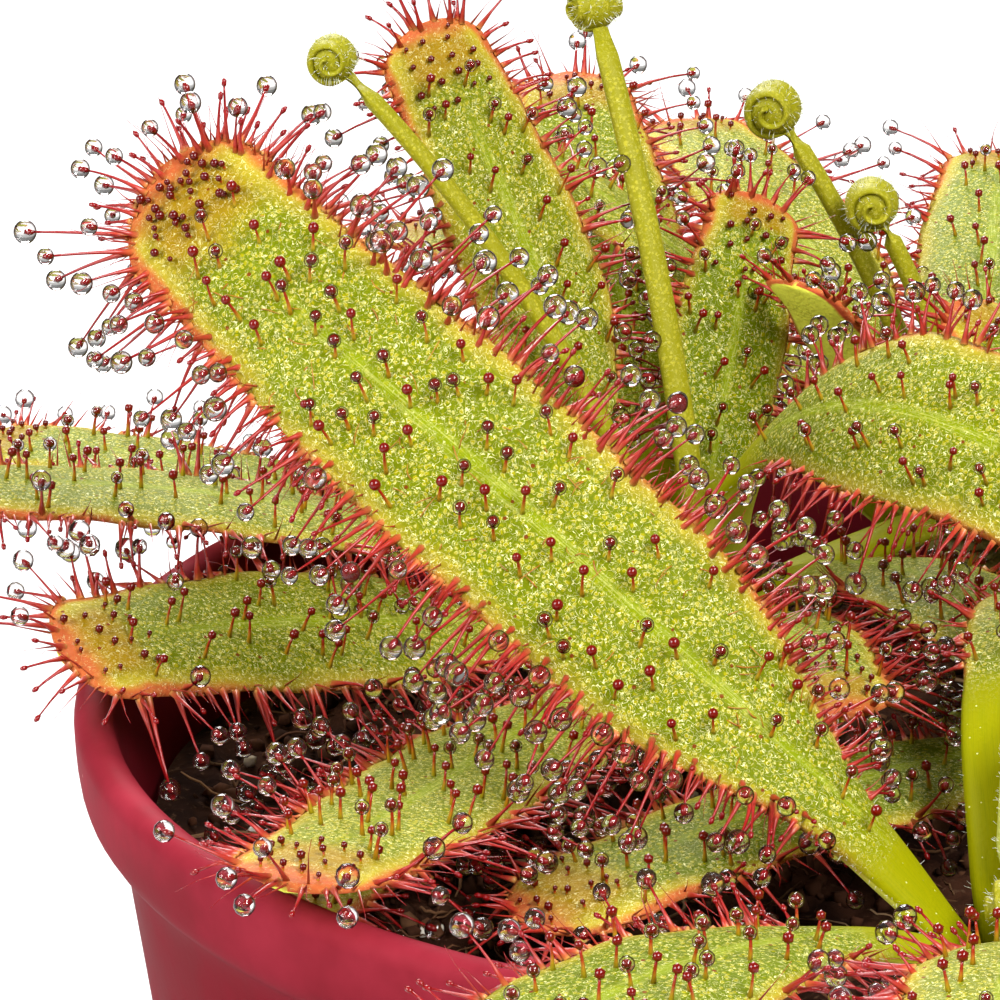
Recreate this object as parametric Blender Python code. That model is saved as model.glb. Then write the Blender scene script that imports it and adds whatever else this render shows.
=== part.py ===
"""Potted sundew: four rosettes of strap leaves in a round tapered nursery pot.

Millimetres inside, metres in the meshes. +Z is up and the origin is the
centre of the pot's underside. Azimuths are degrees from +X towards +Y.
"""
import math
from collections import namedtuple
from itertools import product

import bmesh
import bpy
from mathutils import Vector
from mathutils.bvhtree import BVHTree

MM = 0.001

# Pot
POT_HEIGHT = 62.0
LIP_RADIUS = 35.0          # outside, at the widest point of the rolled lip
LIP_DEPTH = 4.6            # top of the lip down to where it meets the wall
LIP_BREADTH = 1.8
FOOT_RADIUS = 25.0
WALL = 1.0
FLOOR = 1.3
DRAIN_COUNT = 6
DRAIN_RADIUS = 1.9
DRAIN_CIRCLE = 16.0        # radius of the circle that the drain holes lie on
POT_SIDES = 48

# Soil
SOIL_TOP = 56.0
SOIL_SWELL = 0.7           # how far the surface rises and falls
REST_GAP = 0.3             # between pieces that touch

# Plants
STEM_RADIUS = 1.9
STEM_FOOT = SOIL_TOP + REST_GAP
PETIOLE_HALF = 1.35        # half the width of a leaf stalk
PETIOLE_THICK = 1.1
HEEL_SHARE = 0.62          # a stalk's width and thickness at the stem, as a share of the above
BLADE_THICK = 0.9
BLADE_RAMP = 0.3           # share of a leaf over which the stalk widens into the blade
SEAT_GAP = 0.35            # from a stem to the leaf stalks round it
HEEL_MARGIN = 0.16         # room kept round a leaf where it leaves the stem
BLADE_MARGIN = 0.40        # and round its blade

# Each plant: the axis of its short stem in X and Y, and the top of that stem
PLANTS = {
    "front": (5.8, -21.9, 59.0),
    "left": (-7.3, 13.4, 62.7),
    "right": (21.0, 3.0, 62.0),
    "back": (7.2, 25.4, 62.0),
}

# A leaf leaves its stem at an azimuth and a rise, and ends at another rise.
# bend turns its azimuth towards the tip, and roll turns its face about its
# length. stalk is the share of the length before the blade starts to widen.
Leaf = namedtuple(
    "Leaf", "plant azimuth rise tip_rise length width height stalk bend roll",
    defaults=(0.2, 0, 0))

LEAVES = [
    Leaf("front", 164, 47.7, 23.6, 48.8, 9.0, 58.2, 0.10, -35.7, 50),
    Leaf("front", 226, 36, -32, 40, 8.4, 58.1, 0.22, -14),
    Leaf("front", 250, 46, -28, 34, 7.6, 57.0, 0.30, -6),
    Leaf("left", 214, 16, 0, 32, 8.4, 58.6, 0.20, 0, 22),
    Leaf("left", 247, 3, 9, 42, 8.4, 59.6),
    Leaf("left", 194, 27, 2, 36, 8.0, 60.2),
    Leaf("left", 150, 72, 58, 28, 7.0, 61.5, 0.20, 0, 30),
    Leaf("left", 70, 72, 50, 18, 6.0, 61.8, 0.20, 0, -40),
    Leaf("left", -62, 84, -48, 34, 8.6, 61.2, 0.30, 50, -45),
    Leaf("right", 213, 14, -12, 41, 8.2, 58.5, 0.25),
    Leaf("left", -50, 38, -52, 28, 7.6, 60.0, 0.30),
    Leaf("left", 15, 24, 2, 32, 7.6, 59.6, 0.30),
    Leaf("left", 231, 4, -6, 33, 7.8, 57.5),
    Leaf("front", 286, 26, -24, 36, 7.8, 57.6),
    Leaf("front", 318, 34, -14, 35, 7.8, 58.1),
    Leaf("front", 350, 22, -10, 38, 8.2, 57.4),
    Leaf("front", 26, 44, 8, 33, 7.6, 58.3),
    Leaf("front", 62, 20, -6, 30, 7.4, 57.2),
    Leaf("front", 100, 86, -60, 28, 7.2, 58.5, 0.40, -120),
    Leaf("left", 176, 50, 24, 23, 7.0, 60.9),
    Leaf("left", 128, 30, 2, 36, 8.0, 59.3),
    Leaf("left", 100, 46, 20, 33, 7.6, 60.5),
    Leaf("left", 282, 42, -8, 27, 7.2, 58.0),
    Leaf("left", 160, 14, -12, 36, 8.0, 57.9),
    Leaf("right", 150, 56, 30, 22, 6.8, 60.8),
    Leaf("right", 236, 56, 26, 30, 7.4, 60.2),
    Leaf("right", 270, 20, -10, 38, 8.2, 58.0),
    Leaf("right", 300, 30, -12, 38, 8.0, 59.1),
    Leaf("right", 330, 18, -18, 36, 8.2, 57.6),
    Leaf("right", 2, 34, -6, 38, 8.2, 59.4),
    Leaf("right", 34, 20, -12, 36, 8.0, 58.2),
    Leaf("right", 70, 48, 14, 33, 7.6, 60.0),
    Leaf("right", 188, 24, 6, 17, 6.4, 59.6),
    Leaf("back", 18, 25, -10, 38, 8.2, 58.0),
    Leaf("back", 50, 36, 0, 36, 8.0, 59.2),
    Leaf("back", 82, 16, -4, 33, 8.0, 60.2),
    Leaf("back", 112, 34, -4, 36, 8.0, 59.0),
    Leaf("back", 142, 22, -12, 36, 8.0, 58.4),
    Leaf("back", 172, 46, 16, 33, 7.6, 60.0),
    Leaf("back", 206, 62, 40, 18, 6.2, 60.7),
    Leaf("back", 322, 60, 42, 29, 7.2, 60.6),
    Leaf("back", 350, 46, 20, 33, 7.6, 59.9),
]

# A young leaf still has its tip curled into a ball, or is a closed bud.
# Its foot stands on the top of its stem, a step away from the stem's axis.
YoungLeaf = namedtuple(
    "YoungLeaf", "plant shape azimuth rise tip_rise length half_width ball_radius step")

YOUNG_LEAVES = [
    YoungLeaf("front", "coil", 260, 84, 84, 0.6, 0.8, 1.6, (-0.4, -1.3)),
    YoungLeaf("front", "bud", 80, 82, 66, 10.0, 1.9, 0.0, (0.5, 0.9)),
    YoungLeaf("left", "coil", 172, 68, 46, 27.0, 0.7, 1.4, (-1.0, -0.1)),
    YoungLeaf("left", "coil", 116, 74, 56, 25.0, 0.7, 1.4, (0.8, 0.8)),
    YoungLeaf("right", "coil", 190, 82, 66, 20.0, 0.8, 1.5, (-0.8, 0.3)),
    YoungLeaf("right", "coil", 40, 80, 60, 17.0, 0.8, 1.5, (0.8, 0.0)),
    YoungLeaf("back", "coil", 168, 72, 56, 19.0, 0.8, 1.7, (-0.8, 0.5)),
    YoungLeaf("back", "coil", 178, 78, 62, 14.0, 0.8, 1.6, (0.4, -0.8)),
]

# Where a leaf would touch one that is already there, it is turned, lifted and
# raised along the stem by the least of these that clears it
TURNS = range(-30, 31, 6)          # degrees
LIFTS = range(0, 37, 4)            # degrees
RAISES = [0.4 * k for k in range(-6, 7)]   # millimetres

LEAF_STATIONS = (0, 0.09, 0.18, 0.28, 0.38, 0.50, 0.63, 0.76, 0.90, 0.9625, 1.0)
SPINE_STEPS = 80


def clear_scene():
    for obj in list(bpy.data.objects):
        bpy.data.objects.remove(obj, do_unlink=True)


def material(name, colour, roughness):
    mat = bpy.data.materials.new(name)
    mat.use_nodes = True
    shader = mat.node_tree.nodes["Principled BSDF"]
    shader.inputs["Base Color"].default_value = (*colour, 1.0)
    shader.inputs["Roughness"].default_value = roughness
    shader.inputs["Metallic"].default_value = 0.0
    return mat


def finished(name, bm, colour, roughness, sharp_degrees=40):
    """Turn a closed bmesh in millimetres into a named, smooth shaded object."""
    bmesh.ops.recalc_face_normals(bm, faces=bm.faces)
    bmesh.ops.scale(bm, vec=(MM, MM, MM), verts=bm.verts)
    mesh = bpy.data.meshes.new(name)
    bm.to_mesh(mesh)
    bm.free()
    mesh.shade_smooth()
    mesh.set_sharp_from_angle(angle=math.radians(sharp_degrees))
    obj = bpy.data.objects.new(name, mesh)
    obj.data.materials.append(material(name, colour, roughness))
    bpy.context.scene.collection.objects.link(obj)
    return obj


def smooth_step(low, high, value):
    share = min(max((value - low) / (high - low), 0.0), 1.0)
    return share * share * (3.0 - 2.0 * share)


def direction(azimuth, rise):
    a, r = math.radians(azimuth), math.radians(rise)
    return Vector((math.cos(r) * math.cos(a), math.cos(r) * math.sin(a), math.sin(r)))


def lofted(rings):
    """A closed solid through rings of points, with a flat cap at each end."""
    bm = bmesh.new()
    loops = [[bm.verts.new(point) for point in ring] for ring in rings]
    for loop, following in zip(loops, loops[1:]):
        for i in range(len(loop)):
            j = (i + 1) % len(loop)
            bm.faces.new((loop[i], loop[j], following[j], following[i]))
    bm.faces.new(list(reversed(loops[0])))
    bm.faces.new(loops[-1])
    return bm


# Pot: a turned wall with a rolled lip, and small drain holes in its floor

def wall_radius(z):
    """Outside radius of the tapered wall, below the lip."""
    top = POT_HEIGHT - LIP_DEPTH - 1.6
    return FOOT_RADIUS + (LIP_RADIUS - 2.0 - FOOT_RADIUS) * (z - 0.5) / (top - 0.5)


def pot_profile():
    """Radius and height round the wall's section, from the axis below to the axis inside."""
    lip_mid = LIP_RADIUS - LIP_BREADTH / 2
    under_lip = POT_HEIGHT - LIP_DEPTH - 1.6
    outside = [(0.0, 0.0), (FOOT_RADIUS - 0.7, 0.0), (FOOT_RADIUS, 0.5),
               (wall_radius(20), 20), (wall_radius(40), 40), (wall_radius(under_lip), under_lip),
               (LIP_RADIUS - 1.6, POT_HEIGHT - LIP_DEPTH - 0.4),
               (LIP_RADIUS - 0.8, POT_HEIGHT - LIP_DEPTH + 0.3),
               (LIP_RADIUS - 0.2, POT_HEIGHT - LIP_DEPTH + 1.1)]
    half = LIP_BREADTH / 2
    crown = [(lip_mid + half * math.cos(math.radians(a)),
              POT_HEIGHT - half + half * math.sin(math.radians(a)))
             for a in (0, 35, 65, 90, 115, 145, 180)]
    inside = [(wall_radius(under_lip) - WALL, under_lip), (wall_radius(FLOOR) - WALL, FLOOR), (0.0, FLOOR)]
    return outside + crown + inside


def make_pot():
    bm = bmesh.new()
    points = [bm.verts.new((radius, 0.0, z)) for radius, z in pot_profile()]
    edges = [bm.edges.new(pair) for pair in zip(points, points[1:])]
    bmesh.ops.spin(bm, geom=points + edges, cent=(0, 0, 0), axis=(0, 0, 1),
                   angle=math.tau, steps=POT_SIDES, use_merge=True)
    bmesh.ops.remove_doubles(bm, verts=bm.verts, dist=0.001)
    pot = finished("pot", bm, (0.42, 0.045, 0.075), 0.45)
    for i in range(DRAIN_COUNT):
        drill = bmesh.new()
        bmesh.ops.create_cone(drill, cap_ends=True, segments=16, radius1=DRAIN_RADIUS,
                              radius2=DRAIN_RADIUS, depth=3 * FLOOR)
        bmesh.ops.translate(drill, verts=drill.verts,
                            vec=direction(360 * (i + 0.5) / DRAIN_COUNT, 0) * DRAIN_CIRCLE)
        cutter = finished(f"drain_drill_{i + 1}", drill, (0.5, 0.5, 0.5), 0.5)
        cutter.hide_render = True
        cutter.display_type = "WIRE"
        hole = pot.modifiers.new(f"drain_{i + 1}", "BOOLEAN")
        hole.operation = "DIFFERENCE"
        hole.solver = "EXACT"
        hole.object = cutter
    return pot


# Soil: fills the pot to a little below the lip

def soil_height(x, y):
    """The surface swells a little between the plants and is level round each stem."""
    swell = SOIL_SWELL * (0.5 * math.sin(0.31 * x + 1.1) + 0.5 * math.cos(0.27 * y - 0.16 * x))
    for px, py, _ in PLANTS.values():
        swell *= smooth_step(STEM_RADIUS + 1.2, 9.0, math.hypot(x - px, y - py))
    return SOIL_TOP + swell


def make_soil():
    inner = wall_radius(SOIL_TOP - SOIL_SWELL) - WALL - REST_GAP
    bottom = FLOOR + REST_GAP
    rings = []
    for radius in (0.9, 5, 9, 13, 17, 21, 25, 28.5, inner):
        spots = [direction(360 * i / POT_SIDES, 0) * radius for i in range(POT_SIDES)]
        rings.append([Vector((p.x, p.y, soil_height(p.x, p.y))) for p in spots])
    for radius, z in ((wall_radius(SOIL_TOP - 3) - WALL - REST_GAP, SOIL_TOP - 3),
                      (wall_radius(bottom) - WALL - REST_GAP, bottom)):
        rings.append([direction(360 * i / POT_SIDES, 0) * radius + Vector((0, 0, z))
                      for i in range(POT_SIDES)])
    return finished("soil", lofted(rings), (0.035, 0.018, 0.012), 0.95)


# Stems: one short stem to a rosette

def stem_rings(plant):
    x, y, top = PLANTS[plant]
    rings = []
    for radius, z in ((STEM_RADIUS * 0.9, STEM_FOOT), (STEM_RADIUS, STEM_FOOT + 0.6),
                      (STEM_RADIUS, top - 0.5), (STEM_RADIUS * 0.8, top)):
        rings.append([direction(30 * i, 0) * radius + Vector((x, y, z)) for i in range(12)])
    return rings


def make_stem(plant):
    return finished(f"{plant}_plant_stem", lofted(stem_rings(plant)), (0.23, 0.20, 0.06), 0.6)


# Leaves

def spine(base, azimuth, rise, tip_rise, bend, roll, length):
    """Points along a leaf, each with its side and its face direction."""
    frames = []
    point = base.copy()
    before = None
    for k in range(SPINE_STEPS + 1):
        u = k / SPINE_STEPS
        turned = azimuth + bend * u * u
        along = direction(turned, rise + (tip_rise - rise) * u)
        if before is not None:
            point = point + (along + before) * (length / SPINE_STEPS / 2)
        before = along
        side = Vector((math.sin(math.radians(turned)), -math.cos(math.radians(turned)), 0.0))
        face = side.cross(along)
        f = math.radians(roll) * smooth_step(0.0, 0.4, u)
        frames.append((point, side * math.cos(f) + face * math.sin(f),
                       face * math.cos(f) - side * math.sin(f)))
    return frames


def leaf_frames(leaf, turn, lift, raised):
    x, y, _ = PLANTS[leaf.plant]
    tilt = abs(math.sin(math.radians(leaf.rise + lift)))
    reach = STEM_RADIUS + SEAT_GAP + 0.5 * HEEL_SHARE * PETIOLE_THICK * tilt
    base = Vector((x, y, leaf.height + raised)) + direction(leaf.azimuth + turn, 0) * reach
    return spine(base, leaf.azimuth + turn, leaf.rise + lift, leaf.tip_rise + lift,
                 leaf.bend, leaf.roll, leaf.length)


def half_width(leaf, t):
    """Narrow stalk, then a strap that is widest before its middle, then a round tip."""
    width = PETIOLE_HALF + (leaf.width / 2 - PETIOLE_HALF) * smooth_step(
        leaf.stalk, leaf.stalk + BLADE_RAMP, t)
    width *= 1.0 - 0.16 * smooth_step(0.6, 0.92, t)
    width *= HEEL_SHARE + (1.0 - HEEL_SHARE) * smooth_step(0.0, 0.12, t)
    closing = max(0.0, (t - 0.93) / 0.07)
    return width * math.sqrt(1.0 - 0.985 * closing * closing)


def half_thickness(t):
    thick = PETIOLE_THICK + (BLADE_THICK - PETIOLE_THICK) * smooth_step(0.1, 0.4, t)
    thick *= HEEL_SHARE + (1.0 - HEEL_SHARE) * smooth_step(0.0, 0.12, t)
    return 0.5 * thick * (1.0 - 0.45 * smooth_step(0.9, 1.0, t))


def leaf_rings(leaf, choice, roomy=False):
    frames = leaf_frames(leaf, *choice)
    rings = []
    for t in LEAF_STATIONS:
        point, side, face = frames[round(t * SPINE_STEPS)]
        margin = roomy * (HEEL_MARGIN + (BLADE_MARGIN - HEEL_MARGIN) * smooth_step(0.05, 0.3, t))
        w, h = half_width(leaf, t) + margin, half_thickness(t) + margin
        across = ((w, -0.25 * h), (0.5 * w, h), (-0.5 * w, h),
                  (-w, -0.25 * h), (-0.5 * w, -h), (0.5 * w, -h))
        rings.append([point + side * a + face * b for a, b in across])
    return rings


def clears_pot(leaf, choice):
    """The leaf passes over the lip or stays inside it, above the soil."""
    for k, (point, side, face) in enumerate(leaf_frames(leaf, *choice)):
        t = k / SPINE_STEPS
        for edge in (-1, 0, 1):
            spot = point + side * (edge * half_width(leaf, t))
            radius = math.hypot(spot.x, spot.y)
            under = spot.z - half_thickness(t)
            if radius < LIP_RADIUS + 0.6:
                if radius > LIP_RADIUS - LIP_BREADTH - 0.4 and under < POT_HEIGHT + REST_GAP:
                    return False
                if under < soil_height(spot.x, spot.y) + REST_GAP:
                    return False
    return True


def polygons(ring_count, ring_size):
    faces = [tuple(range(ring_size)), tuple(range((ring_count - 1) * ring_size, ring_count * ring_size))]
    for r in range(ring_count - 1):
        for i in range(ring_size):
            j = (i + 1) % ring_size
            faces.append((r * ring_size + i, r * ring_size + j,
                          (r + 1) * ring_size + j, (r + 1) * ring_size + i))
    return faces


def tree(rings):
    points = [point for ring in rings for point in ring]
    return BVHTree.FromPolygons(points, polygons(len(rings), len(rings[0])))


def place_leaf(leaf, placed):
    """The least turn, lift and raise at which the leaf clears all placed before it."""
    top = PLANTS[leaf.plant][2]
    choices = sorted(product(TURNS, LIFTS, RAISES),
                     key=lambda c: abs(c[0]) / 6 + c[1] / 6 + abs(c[2]) / 0.6)
    for choice in choices:
        if not STEM_FOOT + 0.4 <= leaf.height + choice[2] <= top - 0.2:
            continue
        if not clears_pot(leaf, choice):
            continue
        candidate = tree(leaf_rings(leaf, choice, roomy=True))
        if not any(candidate.overlap(other) for other in placed):
            return choice
    return None


def make_leaf(name, leaf, placed):
    choice = place_leaf(leaf, placed)
    if choice is None:
        print("no room for", name)
        return None
    print(f"{name}: turned {choice[0]}, lifted {choice[1]}, raised {choice[2]:.1f}")
    placed.append(tree(leaf_rings(leaf, choice, roomy=True)))
    return finished(name, lofted(leaf_rings(leaf, choice)), (0.30, 0.42, 0.05), 0.45, sharp_degrees=80)


# Young leaves

def young_rings(young, margin=0.0):
    x, y, top = PLANTS[young.plant]
    tilt = math.cos(math.radians(young.rise)) * young.half_width
    base = Vector((x + young.step[0], y + young.step[1], top + REST_GAP + 0.7 * tilt))
    frames = spine(base, young.azimuth, young.rise, young.tip_rise, 0.0, 0.0, young.length)
    rings = []
    if young.shape == "bud":
        for t in (0.0, 0.12, 0.3, 0.5, 0.7, 0.86, 0.96, 1.0):
            point, side, face = frames[round(t * SPINE_STEPS)]
            swell = 0.45 + 0.55 * smooth_step(0.0, 0.35, t)
            swell *= math.sqrt(1.0 - 0.94 * smooth_step(0.6, 1.0, t) ** 2)
            w, h = young.half_width * swell + margin, 0.66 * young.half_width * swell + margin
            rings.append(oval(point, side, face, w, h))
        return rings
    for t in (0.0, 0.25, 0.5, 0.75, 1.0):
        point, side, face = frames[round(t * SPINE_STEPS)]
        taper = 1.0 - 0.2 * t
        rings.append(oval(point, side, face, young.half_width * taper + margin,
                          0.7 * young.half_width * taper + margin))
    point, side, face = frames[-1]
    along = face.cross(side)
    ball = young.ball_radius
    for angle in (-50, -25, 0, 25, 50, 72):
        a = math.radians(angle)
        centre = point + along * (ball * (0.9 + math.sin(a)))
        size = ball * math.cos(a) + margin
        rings.append(oval(centre, side, face, size, size))
    return rings


def oval(point, side, face, w, h, count=8):
    """A ring of points round a centre, starting on its side."""
    turns = [math.tau * i / count for i in range(count)]
    return [point + side * (w * math.cos(a)) + face * (h * math.sin(a)) for a in turns]


def make_young_leaf(name, young, placed):
    placed.append(tree(young_rings(young, HEEL_MARGIN)))
    return finished(name, lofted(young_rings(young)), (0.48, 0.52, 0.10), 0.5, sharp_degrees=80)


def build():
    clear_scene()
    make_pot()
    make_soil()
    for plant in PLANTS:
        make_stem(plant)
    placed = [tree(stem_rings(plant)) for plant in PLANTS]
    numbers = {}
    for young in YOUNG_LEAVES:
        key = (young.plant, young.shape)
        numbers[key] = numbers.get(key, 0) + 1
        name = "leaf_bud" if young.shape == "bud" else f"curled_leaf_{numbers[key]}"
        make_young_leaf(f"{young.plant}_plant_{name}", young, placed)
    for leaf in LEAVES:
        numbers[leaf.plant] = numbers.get(leaf.plant, 0) + 1
        make_leaf(f"{leaf.plant}_plant_leaf_{numbers[leaf.plant]}", leaf, placed)


build()
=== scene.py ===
# Potted sundew: four rosettes of sticky strap leaves in a red nursery pot.
# Lengths are in millimetres until a mesh is made, and +Z is up.
import math

import bmesh
import bpy
import numpy as np
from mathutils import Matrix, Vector, noise
from mathutils.bvhtree import BVHTree


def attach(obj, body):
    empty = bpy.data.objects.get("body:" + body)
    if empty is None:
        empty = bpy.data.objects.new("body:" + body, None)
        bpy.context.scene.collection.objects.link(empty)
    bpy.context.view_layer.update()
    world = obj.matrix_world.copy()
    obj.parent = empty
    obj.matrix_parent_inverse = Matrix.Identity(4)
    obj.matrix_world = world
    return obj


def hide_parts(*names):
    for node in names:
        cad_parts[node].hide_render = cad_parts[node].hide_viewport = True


mm = 0.001
rng = np.random.default_rng(11)


# numbers and directions

def smoothStep(low, high, value):
    share = np.clip((value - low) / (high - low), 0.0, 1.0)
    return share * share * (3.0 - 2.0 * share)


def unit(vectors):
    return vectors / np.maximum(np.linalg.norm(vectors, axis=-1, keepdims=True), 1e-9)


def between(low, high, count):
    return rng.uniform(low, high, count)


# meshes from arrays of points

def newPiece(name, points, faceSets, material, uv=None, attributes=None):
    mesh = bpy.data.meshes.new(name)
    loops = np.concatenate([np.asarray(f).reshape(-1) for f in faceSets if len(f)])
    sizes = np.concatenate([np.full(len(f), np.asarray(f).shape[1]) for f in faceSets if len(f)])
    mesh.vertices.add(len(points))
    mesh.vertices.foreach_set("co", (np.asarray(points) * mm).astype(np.float32).reshape(-1))
    mesh.loops.add(len(loops))
    mesh.loops.foreach_set("vertex_index", loops.astype(np.int32))
    mesh.polygons.add(len(sizes))
    mesh.polygons.foreach_set("loop_start", (np.cumsum(sizes) - sizes).astype(np.int32))
    mesh.polygons.foreach_set("use_smooth", np.ones(len(sizes), bool))
    if uv is not None:
        layer = mesh.uv_layers.new(name="OFBake")
        layer.data.foreach_set("uv", np.asarray(uv)[loops].astype(np.float32).reshape(-1))
    for title, values in (attributes or {}).items():
        kind = "FLOAT_VECTOR" if values.ndim == 2 else "FLOAT"
        made = mesh.attributes.new(title, kind, "POINT")
        made.data.foreach_set("vector" if values.ndim == 2 else "value",
                              values.astype(np.float32).reshape(-1))
    mesh.update()
    mesh.validate()
    obj = bpy.data.objects.new(name, mesh)
    obj.data.materials.append(material)
    bpy.context.scene.collection.objects.link(obj)
    return obj


def joined(name, parts, material):
    # one mesh from many (points, face sets, uv) parts
    points, faces, uvs, start = [], [], [], 0
    for somePoints, someFaces, someUv in parts:
        points.append(somePoints)
        uvs.append(someUv)
        faces += [np.asarray(f) + start for f in someFaces if len(f)]
        start += len(somePoints)
    return newPiece(name, np.concatenate(points), faces, material, np.concatenate(uvs))


def tubes(paths, radii, sides, alongUv, acrossUv):
    # closed tapered tubes: paths is (count, stations, 3) and radii (count, stations)
    count, stations, _ = paths.shape
    tangent = unit(np.gradient(paths, axis=1))
    mean = unit(tangent.mean(1))
    ref = np.where(np.abs(mean[:, 2:]) > 0.8, (1.0, 0.0, 0.0), (0.0, 0.0, 1.0))[:, None, :]
    a = unit(np.cross(tangent, ref))
    b = np.cross(tangent, a)
    angle = np.arange(sides) * math.tau / sides
    ring = (np.cos(angle)[:, None] * a[:, :, None, :] + np.sin(angle)[:, None] * b[:, :, None, :])
    points = (paths[:, :, None, :] + radii[:, :, None, None] * ring).reshape(-1, 3)
    i, j, k = np.meshgrid(np.arange(count), np.arange(stations - 1), np.arange(sides), indexing="ij")
    at = (i * stations + j) * sides
    nextK = (k + 1) % sides
    quads = np.stack([at + k, at + nextK, at + sides + nextK, at + sides + k], -1).reshape(-1, 4)
    first = np.arange(count)[:, None] * stations * sides + np.arange(sides)[None, ::-1]
    last = (np.arange(count)[:, None] * stations + stations - 1) * sides + np.arange(sides)
    uv = np.empty((count, stations, sides, 2))
    uv[..., 0] = alongUv[None, :, None] if alongUv.ndim == 1 else alongUv[:, :, None]
    uv[..., 1] = acrossUv[:, None, None]
    return points, [quads, first, last], uv.reshape(-1, 2)


def ballShape(divisions):
    bm = bmesh.new()
    bmesh.ops.create_icosphere(bm, subdivisions=divisions, radius=1.0)
    shape = (np.array([v.co for v in bm.verts]), np.array([[v.index for v in f.verts] for f in bm.faces]))
    bm.free()
    return shape


def balls(centres, radii, shape, uvSpot, axes=None, stretch=1.0):
    corners, faces = shape
    count = len(centres)
    spread = np.repeat(corners[None], count, 0)
    if axes is not None:
        spread = spread + (stretch - 1.0) * (spread @ axes[:, :, None]) * axes[:, None, :]
    points = (centres[:, None, :] + radii[:, None, None] * spread).reshape(-1, 3)
    sets = (faces[None] + (np.arange(count) * len(corners))[:, None, None]).reshape(-1, faces.shape[1])
    return points, [sets], np.repeat(uvSpot, len(corners), 0)


# node helpers

def connect(tree, socket, value):
    if isinstance(value, bpy.types.NodeSocket):
        tree.links.new(value, socket)
    else:
        socket.default_value = value


def wire(tree, node, **values):
    for title, value in values.items():
        connect(tree, node.inputs[title.replace("_", " ")], value)


def put(tree, kind, settings=None, **values):
    made = tree.nodes.new(kind)
    for title, value in (settings or {}).items():
        setattr(made, title, value)
    wire(tree, made, **values)
    return made


def maths(tree, operation, *values, kind="ShaderNodeMath"):
    made = put(tree, kind, {"operation": operation})
    for socket, value in zip(made.inputs, values):
        connect(tree, socket, value)
    return made.outputs[0]


def times(tree, first, second):
    return maths(tree, "MULTIPLY", first, second)


def plus(tree, first, second):
    return maths(tree, "ADD", first, second)


def minus(tree, first, second):
    return maths(tree, "SUBTRACT", first, second)


def blend(tree, factor, first, second, kind="MIX"):
    made = put(tree, "ShaderNodeMix", {"data_type": "RGBA", "blend_type": kind, "clamp_factor": True})
    for index, value in ((0, factor), (6, first), (7, second)):
        if isinstance(value, tuple) and len(value) == 3:
            value = (*value, 1.0)
        connect(tree, made.inputs[index], value)
    return made.outputs[2]


def span(tree, value, low, high, toLow=0.0, toHigh=1.0, smooth=True):
    made = put(tree, "ShaderNodeMapRange", {"clamp": True,
               "interpolation_type": "SMOOTHSTEP" if smooth else "LINEAR"}, Value=value)
    for title, number in (("From Min", low), ("From Max", high), ("To Min", toLow), ("To Max", toHigh)):
        made.inputs[title].default_value = number
    return made.outputs[0]


def ramp(tree, value, stops):
    made = put(tree, "ShaderNodeValToRGB", Fac=value)
    elements = made.color_ramp.elements
    while len(elements) < len(stops):
        elements.new(1.0)
    for element, (spot, colour) in zip(elements, stops):
        element.position, element.color = spot, (*colour, 1.0)
    return made.outputs[0]


def spotOf(tree):
    return put(tree, "ShaderNodeTexCoord").outputs["Object"]


def mapParts(tree):
    # along and across the map that tentacles, hairs and crumbs carry
    where = put(tree, "ShaderNodeUVMap", {"uv_map": "OFBake"})
    return put(tree, "ShaderNodeSeparateXYZ", Vector=where.outputs[0]).outputs


def newGroup(name, inputs, outputs):
    tree = bpy.data.node_groups.new(name, "ShaderNodeTree")
    for title, kind, value in inputs:
        socket = tree.interface.new_socket(title, in_out="INPUT", socket_type="NodeSocket" + kind)
        if value is not None:
            socket.default_value = value
    for title, kind in outputs:
        tree.interface.new_socket(title, in_out="OUTPUT", socket_type="NodeSocket" + kind)
    return tree, tree.nodes.new("NodeGroupInput"), tree.nodes.new("NodeGroupOutput")


def useGroup(tree, group, **values):
    return put(tree, "ShaderNodeGroup", {"node_tree": group}, **values)


def newMaterial(name, **values):
    material = bpy.data.materials.new(name)
    material.use_nodes = True
    tree = material.node_tree
    shader = tree.nodes["Principled BSDF"]
    wire(tree, shader, **values)
    return material, tree, shader


def bumpInto(tree, shader, height, strength, depth):
    made = put(tree, "ShaderNodeBump", Strength=strength, Distance=depth * mm, Height=height)
    wire(tree, shader, Normal=made.outputs[0])


# shared effects. Spans are the values where an effect starts and ends, and at times its strength at each

crinkleLook = {
    "warpScale": 1.1, "warpReach": 0.20, "dome": (0.1, 0.62, 1.0, 0.0), "seam": (0.02, 0.16, 1.0, 0.0),
    "ringAt": 0.31, "ring": (0.01, 0.055, 0.40, 0.0), "breakScale": 1.3, "ringBreak": (0.42, 0.56),
    "wormScale": 1.35, "wormTwist": 0.6, "worm": (0.006, 0.036, 1.0, 0.0),
    # the last height is how much the painted glints' lines add to the height
    "wormBreak": (0.36, 0.50, 1.0, 0.30), "patchScale": 0.09, "domeHeight": 0.75, "glintHeight": 0.25,
}


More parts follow.
